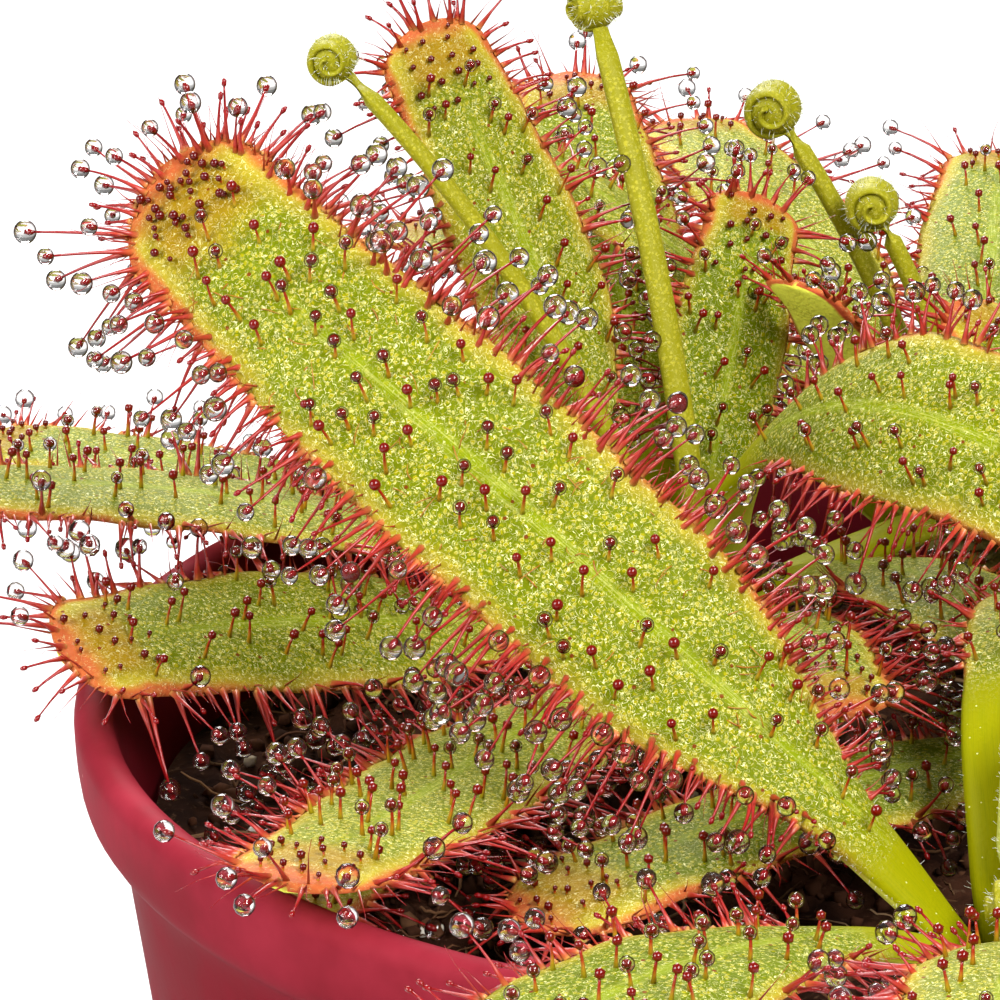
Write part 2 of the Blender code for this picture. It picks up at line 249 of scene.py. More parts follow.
def makeCrinkle():
    # small raised cells, with seams that carry painted shade and short bright squiggles that are painted
    # glints on the cells' bumps
    look = crinkleLook
    tree, start, end = newGroup("skinCrinkle", [("Spot", "Vector", None), ("Cell Size", "Float", 0.3)],
                                [(title, "Float") for title in ("Height", "Fleck", "Seam", "Patch")])
    spot = start.outputs["Spot"]
    perMetre = maths(tree, "DIVIDE", 1 / mm, start.outputs["Cell Size"])

    def cloud(scale, **values):
        scale = times(tree, perMetre, scale)
        return put(tree, "ShaderNodeTexNoise", Vector=spot, Scale=scale, **values).outputs

    def cellsOf(feature):
        return put(tree, "ShaderNodeTexVoronoi", {"feature": feature}, Vector=warped, Scale=perMetre).outputs

    def distance(value, middle):
        return maths(tree, "ABSOLUTE", minus(tree, value, middle))

    warp, reach = cloud(look["warpScale"], Detail=1.0)["Color"], look["warpReach"] * mm
    warped = maths(tree, "MULTIPLY_ADD", warp, (reach, reach, reach), spot, kind="ShaderNodeVectorMath")
    inCell, toWall = cellsOf("F1")["Distance"], cellsOf("DISTANCE_TO_EDGE")["Distance"]
    dome = span(tree, inCell, *look["dome"])
    seam = span(tree, toWall, *look["seam"])
    broken = cloud(look["breakScale"], Detail=0.0)[0]
    ring = times(tree, span(tree, distance(inCell, look["ringAt"]), *look["ring"]),
                 span(tree, broken, *look["ringBreak"]))
    worm = cloud(look["wormScale"], Detail=1.0, Distortion=look["wormTwist"])[0]
    line = times(tree, span(tree, distance(worm, 0.5), *look["worm"]), span(tree, broken, *look["wormBreak"]))
    fleckAndGlint = maths(tree, "MAXIMUM", ring, line)
    patch = cloud(look["patchScale"], Detail=3.0)[0]
    height = plus(tree, times(tree, dome, look["domeHeight"]), times(tree, fleckAndGlint, look["glintHeight"]))
    wire(tree, end, Height=height, Fleck=fleckAndGlint, Seam=seam, Patch=patch)
    return tree


def makeSpecks():
    # scattered round dots in half the cells of a coarse pattern
    inputs = [("Spot", "Vector", None), ("Spacing", "Float", 1.0), ("Share", "Float", 0.2)]
    tree, start, end = newGroup("scatteredSpecks", inputs, [("Mask", "Float")])
    cells = put(tree, "ShaderNodeTexVoronoi", {"feature": "F1"}, Vector=start.outputs["Spot"],
                Scale=maths(tree, "DIVIDE", 1 / mm, start.outputs["Spacing"]), Randomness=1.0)
    near = maths(tree, "LESS_THAN", cells.outputs["Distance"], start.outputs["Share"])
    drawn = put(tree, "ShaderNodeSeparateColor", Color=cells.outputs["Color"]).outputs[0]
    wire(tree, end, Mask=times(tree, near, maths(tree, "GREATER_THAN", drawn, 0.5)))
    return tree


def makeGrain():
    # cloudy grain in two sizes, for plastic, peat and bark
    tree, start, end = newGroup("grain", [("Spot", "Vector", None), ("Grain Size", "Float", 1.0)],
                                [("Fine", "Float"), ("Coarse", "Float")])
    spot = start.outputs["Spot"]
    perMetre = maths(tree, "DIVIDE", 1 / mm, start.outputs["Grain Size"])
    fine = put(tree, "ShaderNodeTexNoise", Vector=spot, Scale=perMetre, Detail=3.0)
    coarse = put(tree, "ShaderNodeTexNoise", Vector=spot, Scale=times(tree, perMetre, 0.08), Detail=4.0,
                 Roughness=0.6)
    wire(tree, end, Fine=fine.outputs[0], Coarse=coarse.outputs[0])
    return tree


crinkle, specks, grain = makeCrinkle(), makeSpecks(), makeGrain()


# materials

leafColours = {
    # deep and mid: the ground, darker or lighter by random patches and by painted light on the cells' domes
    "deep": (0.120, 0.155, 0.0005),
    "mid": (0.275, 0.258, 0.001),
    # painted shade in the valleys between the cells
    "seam": (0.090, 0.120, 0.0005),
    # the colour of painted glints: bright squiggles where light catches the cells
    "fleckAndGlint": (0.800, 0.765, 0.370),
    "midrib": (0.195, 0.245, 0.001),
    "midribStreak": (0.370, 0.400, 0.070),
    "stalk": (0.235, 0.230, 0.001),
    "stalkStreak": (0.150, 0.185, 0.001),
    "hairFoot": (0.600, 0.620, 0.220),
    "margin": (0.390, 0.290, 0.022),
    "edge": (0.430, 0.066, 0.028),
    "tipPatch": (0.250, 0.140, 0.003),
    "speck": (0.150, 0.012, 0.004),
    # under: painted light, a colour raised to make up for the light the underside lacks
    "under": (0.700, 0.710, 0.085),
}
# cell and spacing in millimetres; a share is how much of a cell its dot fills
leafLook = {"cell": 0.27, "feet": {"Spacing": 0.42, "Share": 0.10},
            "specks": {"Spacing": 0.85, "Share": 0.11},
            "shine": 0.03, "bump": (0.7, 0.05), "veins": (26.0, 60.0, 1.0)}


def makeLeafMaterial():
    c, look = leafColours, leafLook
    material, tree, shader = newMaterial("leaf_skin", Specular_IOR_Level=look["shine"])
    spot = spotOf(tree)
    place = put(tree, "ShaderNodeAttribute", {"attribute_name": "place"}).outputs["Vector"]
    parts = put(tree, "ShaderNodeSeparateXYZ", Vector=place).outputs
    along, across, shade = parts[0], maths(tree, "ABSOLUTE", parts[1]), parts[2]
    under = put(tree, "ShaderNodeAttribute", {"attribute_name": "under"}).outputs["Fac"]
    skin = useGroup(tree, crinkle, Spot=spot, Cell_Size=look["cell"]).outputs
    feet = useGroup(tree, specks, Spot=spot, **look["feet"]).outputs["Mask"]
    dots = useGroup(tree, specks, Spot=spot, **look["specks"]).outputs["Mask"]
    soft = minus(tree, skin["Patch"], 0.5)
    fleckAndGlint = skin["Fleck"]
    blade = span(tree, along, 0.15, 0.27)
    # ground: painted shade in the seams round the cells, painted light on the cells' domes, and random paler
    # and darker patches
    tone = plus(tree, times(tree, soft, 0.9), times(tree, skin["Height"], 1.2))
    body = blend(tree, span(tree, tone, 0.05, 0.80), c["deep"], c["mid"])
    body = blend(tree, span(tree, shade, 0.0, 1.0, 0.0, 0.18), body, c["margin"])
    body = blend(tree, times(tree, skin["Seam"], 0.65), body, c["seam"])
    # midrib: a smoother band with pale lengthwise streaks
    rib = plus(tree, across, times(tree, soft, 0.08))
    drawnOut = maths(tree, "MULTIPLY", place, look["veins"], kind="ShaderNodeVectorMath")
    veins = put(tree, "ShaderNodeTexNoise", Vector=drawnOut, Scale=1.0, Detail=2.0)
    streak = span(tree, veins.outputs[0], 0.50, 0.64)
    ribMask = times(tree, span(tree, rib, 0.03, 0.13, 0.7, 0.0), span(tree, along, 0.70, 0.90, 1.0, 0.0))
    body = blend(tree, ribMask, body, blend(tree, streak, c["midrib"], c["midribStreak"]))
    # a peach margin, redder at its very edge and round the tip
    wave = plus(tree, across, times(tree, soft, 0.35))
    wave = plus(tree, wave, span(tree, along, 0.72, 0.96, 0.0, 0.14))
    marginMask = times(tree, span(tree, wave, 0.68, 1.0), blade)
    body = blend(tree, times(tree, marginMask, 0.8), body, c["margin"])
    end = plus(tree, along, times(tree, soft, 0.05))
    tipMask = span(tree, end, 0.875, 0.925)
    body = blend(tree, times(tree, tipMask, 0.35), body, c["margin"])
    core = times(tree, span(tree, across, 0.45, 0.78, 1.0, 0.0), span(tree, end, 0.955, 0.975, 0.9, 0.0))
    body = blend(tree, times(tree, tipMask, core), body, c["tipPatch"])
    # bright squiggles, painted glints, over all but the stalk
    share = times(tree, span(tree, rib, 0.03, 0.12, 0.45, 0.95), span(tree, tipMask, 0.0, 1.0, 1.0, 0.65))
    body = blend(tree, times(tree, fleckAndGlint, share), body, c["fleckAndGlint"])
    edge = maths(tree, "MAXIMUM", span(tree, wave, 0.92, 1.06), span(tree, end, 0.950, 0.986))
    edge = times(tree, edge, span(tree, fleckAndGlint, 0.0, 1.0, 0.85, 0.5))
    body = blend(tree, times(tree, edge, blade), body, c["edge"])
    # the stalk is smooth, with faint streaks and the pale feet of its hairs
    stalk = blend(tree, times(tree, streak, 0.4), c["stalk"], c["stalkStreak"])
    stalk = blend(tree, times(tree, feet, 0.8), stalk, c["hairFoot"])
    body = blend(tree, span(tree, blade, 0.0, 1.0, 1.0, 0.0), body, stalk)
    body = blend(tree, times(tree, dots, times(tree, blade, 0.85)), body, c["speck"])
    # the underside is plain and painted light: its colour is raised to make up for the light it lacks. It has
    # the same red edge
    below = blend(tree, times(tree, streak, 0.15), c["under"], c["mid"])
    below = blend(tree, times(tree, span(tree, wave, 0.88, 1.0), blade), below, c["edge"])
    wire(tree, shader, Base_Color=blend(tree, under, body, below),
         Roughness=span(tree, fleckAndGlint, 0.0, 1.0, 0.48, 0.25))
    depth = times(tree, span(tree, blade, 0.0, 1.0, 0.25, 1.0), span(tree, tipMask, 0.0, 1.0, 1.0, 0.6))
    bumpInto(tree, shader, times(tree, skin["Height"], depth), *look["bump"])
    return material


# dark and light, for a tone that follows random patches and painted light on the cells' domes, and pale for
# painted glints
youngColours = {
    "coil": ((0.230, 0.215, 0.004), (0.370, 0.330, 0.016), (0.560, 0.530, 0.150)),
    "bud": ((0.360, 0.380, 0.050), (0.520, 0.530, 0.130), (0.800, 0.800, 0.520)),
}


def makeYoungMaterial(kind):
    dark, light, pale = youngColours[kind]
    material, tree, shader = newMaterial("young_leaf_" + kind, Roughness=0.5, Specular_IOR_Level=0.1)
    skin = useGroup(tree, crinkle, Spot=spotOf(tree), Cell_Size=0.24).outputs
    # the domes' lighter tone is painted light, and the pale squiggles are painted glints
    tone = plus(tree, minus(tree, skin["Patch"], 0.5), skin["Height"])
    body = blend(tree, span(tree, tone, 0.2, 1.0), dark, light)
    wire(tree, shader, Base_Color=blend(tree, times(tree, skin["Fleck"], 0.45), body, pale))
    bumpInto(tree, shader, skin["Height"], 0.5, 0.03)
    return material


# colours are dark, light and grain
earthLooks = {
    "stem_bark": {"colours": ((0.10, 0.055, 0.015), (0.30, 0.26, 0.05), (0.42, 0.36, 0.12)), "grain": 0.3,
                  "fleckAndGlint": (0.5, 0.75, 0.0, 0.5), "bump": (0.7, 0.08), "rough": 0.6, "shine": 0.5},
    "peat": {"colours": ((0.014, 0.006, 0.004), (0.055, 0.022, 0.012), (0.115, 0.062, 0.036)), "grain": 0.45,
             "fleckAndGlint": (0.58, 0.74, 0.0, 0.6), "bump": (0.9, 0.15), "rough": 0.95, "shine": 0.02},
}


def makeEarthMaterial(name):
    look = earthLooks[name]
    dark, light, pale = look["colours"]
    material, tree, shader = newMaterial(name, Roughness=look["rough"], Specular_IOR_Level=look["shine"])
    mix = useGroup(tree, grain, Spot=spotOf(tree), Grain_Size=look["grain"]).outputs
    body = blend(tree, span(tree, mix["Coarse"], 0.35, 0.65), dark, light)
    wire(tree, shader, Base_Color=blend(tree, span(tree, mix["Fine"], *look["fleckAndGlint"]), body, pale))
    bumpInto(tree, shader, mix["Fine"], *look["bump"])
    return material


# colour runs along a tentacle from its foot to its head. The lower half of the
# map is the margin's tentacles, the upper half the blade's own
tentacleColours = {
    "margin": [(0.0, (0.52, 0.26, 0.065)), (0.05, (0.46, 0.120, 0.040)), (0.14, (0.36, 0.034, 0.020)),
               (0.50, (0.27, 0.012, 0.012)), (0.90, (0.21, 0.004, 0.006)), (1.0, (0.16, 0.003, 0.004))],
    "blade": [(0.0, (0.38, 0.34, 0.01)), (0.28, (0.36, 0.20, 0.008)), (0.52, (0.30, 0.040, 0.006)),
              (0.80, (0.26, 0.008, 0.006)), (0.92, (0.140, 0.003, 0.001)), (1.0, (0.085, 0.0015, 0.0005))],
}


def makeTentacleMaterial():
    material, tree, shader = newMaterial("tentacle_skin", Specular_IOR_Level=0.42)
    along, across, _ = mapParts(tree)
    margin, blade = (ramp(tree, along, tentacleColours[kind]) for kind in ("margin", "blade"))
    body = blend(tree, span(tree, across, 0.49, 0.51, smooth=False), margin, blade)
    # each tentacle has its own height on the map, which makes it lighter or darker
    streak = put(tree, "ShaderNodeTexNoise", {"noise_dimensions": "1D"}, W=across, Scale=60.0, Detail=1.0)
    tint = span(tree, streak.outputs[0], 0.35, 0.7, 0.0, 0.45)
    wire(tree, shader, Base_Color=blend(tree, tint, body, (1.0, 0.30, 0.16), "MULTIPLY"),
         Roughness=span(tree, along, 0.3, 0.95, 0.34, 0.10))
    return material


# rim: painted shade, a dark colour round each drop's edge
dropLook = {"middle": (1.0, 0.985, 0.96), "rim": (0.020, 0.008, 0.008), "paintedRimShadeSpan": (0.24, 0.56),
            "bending": 1.38, "shadow": (0.90, 0.88, 0.84, 1.0)}


def makeDropMaterial():
    # clear to the lamps, so that a drop doesn't shade the leaf like a stone
    look = dropLook
    material, tree, shader = newMaterial("mucilage", Roughness=0.0, Transmission_Weight=1.0,
                                         IOR=look["bending"])
    # painted shade: the colour darkens towards the edge, where the drop turns away from the view
    facing = put(tree, "ShaderNodeLayerWeight", Blend=0.5).outputs["Facing"]
    rim = span(tree, facing, *look["paintedRimShadeSpan"])
    wire(tree, shader, Base_Color=blend(tree, rim, look["middle"], look["rim"]))
    either = put(tree, "ShaderNodeMixShader")
    shadows = (put(tree, "ShaderNodeLightPath").outputs["Is Shadow Ray"], shader.outputs[0],
               put(tree, "ShaderNodeBsdfTransparent", Color=look["shadow"]).outputs[0])
    for socket, value in zip(either.inputs, shadows):
        connect(tree, socket, value)
    wire(tree, tree.nodes["Material Output"], Surface=either.outputs[0])
    return material


# colours along the map: from foot to end of a hair, and from peat through bark to grit in the crumbs
rampLooks = {
    "white_hair": {"stops": [(0.0, (0.62, 0.70, 0.30)), (0.4, (0.85, 0.87, 0.72)), (1.0, (0.92, 0.92, 0.88))],
                   "rough": 0.45, "shine": 0.5},
    "peat_crumbs": {"stops": [(0.0, (0.016, 0.007, 0.004)), (0.45, (0.075, 0.030, 0.016)),
                              (0.75, (0.17, 0.085, 0.040)), (0.88, (0.30, 0.20, 0.11)),
                              (0.93, (0.62, 0.58, 0.50)), (1.0, (0.78, 0.76, 0.70))],
                    "rough": 0.9, "shine": 0.04},
}


def makeRampMaterial(name):
    look = rampLooks[name]
    material, tree, shader = newMaterial(name, Roughness=look["rough"], Specular_IOR_Level=look["shine"])
    wire(tree, shader, Base_Color=ramp(tree, mapParts(tree)[0], look["stops"]))
    return material


potLook = {"dark": (0.130, 0.006, 0.011), "light": (0.163, 0.008, 0.016), "lip": (0.36, 0.034, 0.055),
           "lipSpan": (0.0555, 0.0615), "dust": (0.62, 0.42, 0.38), "shine": 0.02, "bump": (0.25, 0.03)}


def makePotMaterial():
    look = potLook
    material, tree, shader = newMaterial("pot_plastic", Specular_IOR_Level=look["shine"])
    spot = spotOf(tree)
    mix = useGroup(tree, grain, Spot=spot, Grain_Size=0.5).outputs
    dust = useGroup(tree, specks, Spot=spot, Spacing=1.6, Share=0.05).outputs[0]
    height = put(tree, "ShaderNodeSeparateXYZ", Vector=spot).outputs[2]
    body = blend(tree, span(tree, mix["Coarse"], 0.3, 0.7), look["dark"], look["light"])
    # a painted highlight: the lip's top is painted paler, more in some places than in others
    lip = times(tree, span(tree, height, *look["lipSpan"]), span(tree, mix["Coarse"], 0.3, 0.8, 0.4, 1.0))
    body = blend(tree, times(tree, lip, 0.5), body, look["lip"])
    wire(tree, shader, Base_Color=blend(tree, times(tree, dust, 0.35), body, look["dust"]),
         Roughness=span(tree, mix["Coarse"], 0.25, 0.75, 0.50, 0.64))
    bumpInto(tree, shader, mix["Fine"], *look["bump"])
    return material


# shapes turned by extruding one ring after another. A ring is its radius and height

def selectOnly(obj):
    bpy.ops.object.select_all(action="DESELECT")
    obj.select_set(True)
    bpy.context.view_layer.objects.active = obj


def faceOut():
    # the piece that is being edited gets faces that point outwards, and is left
    bpy.ops.mesh.select_all(action="SELECT")
    bpy.ops.mesh.normals_make_consistent(inside=False)
    bpy.ops.object.mode_set(mode="OBJECT")


def smoothBy(obj, degrees):
    selectOnly(obj)
    bpy.ops.object.shade_smooth_by_angle(angle=math.radians(degrees))
    return obj


def turned(name, rings, sides, material, centre=(0.0, 0.0)):
    bpy.ops.object.select_all(action="DESELECT")
    x, y = centre[0] * mm, centre[1] * mm
    bpy.ops.mesh.primitive_circle_add(vertices=sides, radius=rings[0][0] * mm, fill_type="NGON",
                                      location=(x, y, rings[0][1] * mm))
    obj = bpy.context.object
    obj.name = obj.data.name = name
    bpy.ops.object.transform_apply(location=True, rotation=True, scale=True)
    bpy.ops.object.mode_set(mode="EDIT")
    bpy.ops.mesh.select_all(action="SELECT")
    for (radius, z), (nextRadius, nextZ) in zip(rings, rings[1:]):
        bpy.ops.mesh.extrude_region_move(TRANSFORM_OT_translate={"value": (0, 0, (nextZ - z) * mm)})
        share = nextRadius / radius
        bpy.ops.transform.resize(value=(share, share, 1.0), center_override=(x, y, nextZ * mm))
    faceOut()
    obj.data.materials.append(material)
    return obj


# pot: a tapered shell with a rolled lip and drain holes

potSizes = {
    "sides": 144, "foot": 25.0, "flare": 8.0, "footRound": 0.7, "wall": 1.0, "floor": 1.3,
    "lipTop": 62.0, "lipOut": 35.0, "lipIn": 33.2, "drainHoles": 6, "drainRadius": 1.9, "drainCircle": 16.0,
}
# rings where the wall swells into the lip, and below the lip inside
lipOutside = [(33.15, 56.2), (33.3, 56.7), (33.6, 57.15), (34.0, 57.45), (34.4, 57.8), (34.65, 58.2),
              (34.8, 58.7), (34.9, 59.4), (34.97, 60.3)]
lipInside = [(33.0, 59.6), (32.6, 57.8), (32.2, 56.2)]


def wallRadius(z, inside=0.0):
    return potSizes["foot"] + potSizes["flare"] * (z - 0.5) / 55.3 - inside


def makePot():
    s = potSizes
    floor, flat = s["floor"], s["foot"] - s["footRound"]
    rings = [(0.6, 0.0), (s["foot"] - 1.6, 0.0), (flat, 0.0)]
    rings += [(flat + s["footRound"] * math.sin(math.radians(a)), 0.5 - 0.5 * math.cos(math.radians(a)))
              for a in (25, 50, 75)]
    rings += [(wallRadius(z), z) for z in (0.6, 1.2, 6, 14, 22, 30, 38, 46, 52, 54.6, 55.6)] + lipOutside
    mid, half = (s["lipOut"] + s["lipIn"]) / 2, (s["lipOut"] - s["lipIn"]) / 2
    rings += [(mid + half * math.cos(math.radians(a)), s["lipTop"] - half + half * math.sin(math.radians(a)))
              for a in range(0, 181, 15)] + lipInside
    rings += [(wallRadius(z, s["wall"]), z) for z in (50, 30, 10, 2.0)]
    rings += [(wallRadius(1.4, 1.4), 1.4), (wallRadius(floor, 2.0), floor), (10.0, floor), (0.6, floor)]
    pot = turned("nursery_pot", rings, s["sides"], potMaterial)
    bpy.ops.object.select_all(action="DESELECT")
    drills = []
    for i in range(s["drainHoles"]):
        turn = math.tau * (i + 0.5) / s["drainHoles"]
        spot = Vector((math.cos(turn), math.sin(turn), 0)) * s["drainCircle"] * mm
        bpy.ops.mesh.primitive_cylinder_add(vertices=32, radius=s["drainRadius"] * mm, depth=6 * mm,
                                            location=spot)
        drills.append(bpy.context.object)
    for drill in drills:
        drill.select_set(True)
    bpy.ops.object.join()
    drill = bpy.context.object
    cut = pot.modifiers.new("drain holes", "BOOLEAN")
    cut.object, cut.operation, cut.solver = drill, "DIFFERENCE", "EXACT"
    selectOnly(pot)
    bpy.ops.object.modifier_apply(modifier=cut.name)
    bpy.data.objects.remove(drill)
    return smoothBy(pot, 35)


# soil: a turned plug whose top is pushed up and down, with loose crumbs, fibres and grit on it

soilSizes = {"sides": 150, "under": 1.6, "top": 56.0, "gap": 0.3, "ringStep": 0.55, "swell": 0.7,
             "lump": 0.50, "crumbs": 2000, "crumbSize": (0.18, 0.62), "grit": 60, "gritSize": (0.15, 0.42),
             "fibres": 480, "fibreLength": (1.2, 5.5), "fibreHalf": (0.05, 0.13)}
plants = {"front": (5.8, -21.9, 59.0), "left": (-7.3, 13.4, 62.7),
          "right": (21.0, 3.0, 62.0), "back": (7.2, 25.4, 62.0)}  # x, y and top of each stem


def soilHeight(x, y):
    # level round each stem, gently rolling elsewhere
    swell = soilSizes["swell"] * (0.5 * np.sin(0.31 * x + 1.1) + 0.5 * np.cos(0.27 * y - 0.16 * x))
    for px, py, _ in plants.values():
        swell = swell * smoothStep(3.1, 9.0, np.hypot(x - px, y - py))
    return soilSizes["top"] + swell


def awayFromStems(x, y, gap):
    return np.all([np.hypot(x - px, y - py) > gap for px, py, _ in plants.values()], 0)


def makeSoil():
    s = soilSizes
    under, inset = s["under"], potSizes["wall"] + s["gap"]
    rings = [(0.6, under), (24.0, under)] + [(wallRadius(z, inset), z) for z in (under, 20, 40, 53)]
    rings += [(31.55, 55.6)] + [(r, s["top"]) for r in np.arange(31.2, 0.5, -s["ringStep"])]
    soil = turned("peat", rings, s["sides"], peatMaterial)
    points = np.empty(len(soil.data.vertices) * 3)
    soil.data.vertices.foreach_get("co", points)
    points = points.reshape(-1, 3) / mm
    top = points[:, 2] > 55.5
    x, y = points[top, 0], points[top, 1]
    rough = np.array([noise.fractal(Vector((a * 0.9, b * 0.9, 3.0)), 0.9, 2.0, 4) for a, b in zip(x, y)])
    rim = smoothStep(31.6, 30.2, np.hypot(x, y))
    points[top, 2] = soilHeight(x, y) + (rough * s["lump"] - 0.1) * rim - 0.4 * (1 - rim)
    soil.data.vertices.foreach_set("co", (points * mm).reshape(-1))
    soil.data.update()
    return smoothBy(soil, 50)


def makeCrumbs():
    s = soilSizes
    ball = ballShape(1)
    parts = []
    # crumbs, then grit, each with its own stretch of the colour map
    for count, sizes, tone in ((s["crumbs"], s["crumbSize"], (0.02, 0.6)),
                               (s["grit"], s["gritSize"], (0.9, 1.0))):
        radius, turn = 30.4 * np.sqrt(between(0.0, 1.0, count)), between(0, math.tau, count)
        x, y = radius * np.cos(turn), radius * np.sin(turn)
        keep = awayFromStems(x, y, 2.9)
        x, y = x[keep], y[keep]
        size = between(*sizes, len(x)) ** 1.3
        centres = np.stack([x, y, soilHeight(x, y) + 0.25 * size], 1)
        uv = np.stack([between(*tone, len(x)), np.full(len(x), 0.5)], 1)
        points, faces, uvs = balls(centres, size, ball, uv)
        points = points + between(-0.3, 0.3, points.shape) * np.repeat(size, len(ball[0]))[:, None]
        parts.append((points, faces, uvs))
    # fibres lie on the soil in shallow arcs
    count, bends = s["fibres"], 7
    radius, turn = 29.5 * np.sqrt(between(0.0, 1.0, count)), between(0, math.tau, count)
    heading, length = between(0, math.tau, count), between(*s["fibreLength"], count)
    steps = np.linspace(-0.5, 0.5, bends)
    curve = between(-0.35, 0.35, count)
    run, bow = length[:, None] * steps, (curve * length)[:, None] * steps ** 2 * 4
    x = (radius * np.cos(turn))[:, None] + np.cos(heading)[:, None] * run - np.sin(heading)[:, None] * bow
    y = (radius * np.sin(turn))[:, None] + np.sin(heading)[:, None] * run + np.cos(heading)[:, None] * bow
    keep = (np.hypot(x, y) < 31.0).all(1) & awayFromStems(x, y, 2.6).all(1)
    lift = between(0.1, 0.5, count)[:, None] + between(-0.12, 0.12, (count, bends))
    paths = np.stack([x, y, soilHeight(x, y) + lift], -1)[keep]
    radii = between(*s["fibreHalf"], len(paths))[:, None] * np.array([0.5, 1, 1, 1, 1, 0.9, 0.4])
    tone = between(0.45, 0.84, len(paths))
    parts.append(tubes(paths, radii, 3, np.repeat(tone[:, None], bends, 1), np.full(len(paths), 0.5)))
    return joined("peat_crumbs", parts, gritMaterial)


# stems: short and ringed with the scars of old leaves

stemSizes = {"sides": 28, "foot": 56.32, "scarStep": 0.62, "scars": [(1.62, 0.0), (1.88, 0.22), (1.84, 0.42)]}


def makeStem(plant):
    x, y, top = plants[plant]
    s = stemSizes
    rings = [(0.5, s["foot"]), (1.55, s["foot"] + 0.02)]
    height = s["foot"] + 0.28
    while height < top - 0.6:
        rings += [(radius, height + up) for radius, up in s["scars"]]
        height += s["scarStep"]
    rings += [(1.75, top - 0.35), (1.35, top - 0.08), (0.5, top - 0.02)]
    return smoothBy(turned(plant + "_stem", rings, s["sides"], stemMaterial, (x, y)), 45)


# leaves. Each row: azimuth, rise, rise at the tip, length, width, foot height, stalk share, bend and roll

leafFields = ("azimuth", "rise", "tipRise", "length", "width", "height", "stalk", "bend", "roll")

leafTable = {
    "front": [
        (164, 47.7, 23.6, 48.8, 9, 58.2, 0.1, -35.7, 50),
        (226, 36, -32, 40, 8.4, 58.1, 0.22, -14, 0),
        (262, 50, -24, 34, 7.6, 57, 0.3, -6, 0),
        (292, 42, -8, 36, 7.8, 58.4, 0.2, 0, 0),
        (336, 34, -14, 35, 7.8, 58.1, 0.2, 0, 0),
        (362, 30, -2, 38, 8.2, 57, 0.2, 0, 0),
        (26, 44, 8, 33, 7.6, 58.3, 0.2, 0, 0),
        (44, 20, -6, 30, 7.4, 56.8, 0.2, 0, 0),
        (100, 86, -60, 28, 7.2, 57.7, 0.4, -120, 0),
    ],
    "left": [
        (214, 20, 4, 32, 8.4, 58.6, 0.2, 0, 22),
        (247, 3, 9, 42, 8.4, 59.6, 0.2, 0, 0),
        (194, 27, 2, 36, 8, 60.2, 0.2, 0, 0),
        (150, 72, 58, 28, 7, 61.5, 0.2, 0, 30),
        (70, 72, 50, 18, 6, 61.8, 0.2, 0, -40),
        (-62, 84, -48, 34, 8.6, 61.2, 0.3, 50, -45),
        (-50, 50, -40, 28, 7.6, 59.6, 0.3, 0, 0),
        (15, 24, 2, 32, 7.6, 59.6, 0.3, 0, 0),
        (237, 4, -6, 33, 7.8, 57.5, 0.2, 0, 0),
        (194, 50, 24, 23, 7, 61.7, 0.2, 0, 0),
        (128, 30, 2, 36, 8, 59.3, 0.2, 0, 0),
        (100, 46, 20, 33, 7.6, 60.5, 0.2, 0, 0),
        (282, 42, -8, 27, 7.2, 58, 0.2, 0, 0),
        (160, 22, -4, 36, 8, 58.3, 0.2, 0, 0),
    ],
    "right": [
        (213, 14, -12, 41, 8.2, 58.5, 0.25, 0, 0),
        (150, 56, 30, 22, 6.8, 60.8, 0.2, 0, 0),
        (248, 56, 26, 30, 7.4, 60.2, 0.2, 0, 0),
        (300, 36, 6, 38, 8.2, 60.4, 0.2, 0, 0),
        (330, 30, -12, 38, 8, 61.5, 0.2, 0, 0),
        (360, 34, -2, 36, 8.2, 58, 0.2, 0, 0),
        (2, 42, 2, 38, 8.2, 59.4, 0.2, 0, 0),
        (40, 28, -4, 36, 8, 58.6, 0.2, 0, 0),
        (70, 48, 14, 33, 7.6, 60, 0.2, 0, 0),
        (188, 24, 6, 17, 6.4, 59.6, 0.2, 0, 0),
    ],
    "back": [
        (18, 41, 6, 38, 8.2, 58.4, 0.2, 0, 0),
        (50, 40, 4, 36, 8, 60, 0.2, 0, 0),
        (82, 24, 4, 33, 8, 61.4, 0.2, 0, 0),
        (112, 38, 0, 36, 8, 59.8, 0.2, 0, 0),
        (142, 34, 0, 36, 8, 58.4, 0.2, 0, 0),
        (172, 54, 24, 33, 7.6, 60.4, 0.2, 0, 0),
        (224, 66, 44, 18, 6.2, 60.7, 0.2, 0, 0),
        (322, 76, 58, 29, 7.2, 61, 0.2, 0, 0),
        (362, 54, 28, 33, 7.6, 59.9, 0.2, 0, 0),
    ],
}
leafShape = {
    "stalkHalf": 1.65, "stalkThick": 1.7, "bladeThick": 0.9, "widens": 0.3, "closes": 0.93,
    "dome": 0.035, "ribRise": 0.10, "ribRiseHalf": 0.05, "channel": 0.13, "channelHalf": 0.16,
    "keel": 0.16, "keelHalf": 0.14, "ripple": 0.10, "ripplesPerMm": 1.15,
}
leafDetail = {
    "close": {"rows": 460, "across": 90, "under": 12, "crinkle": 0.055, "cell": 0.30},
    "near": {"rows": 66, "across": 18, "under": 6, "crinkle": 0.07, "cell": 0.9},
    "far": {"rows": 46, "across": 12, "under": 4, "crinkle": 0.06, "cell": 1.1},
}


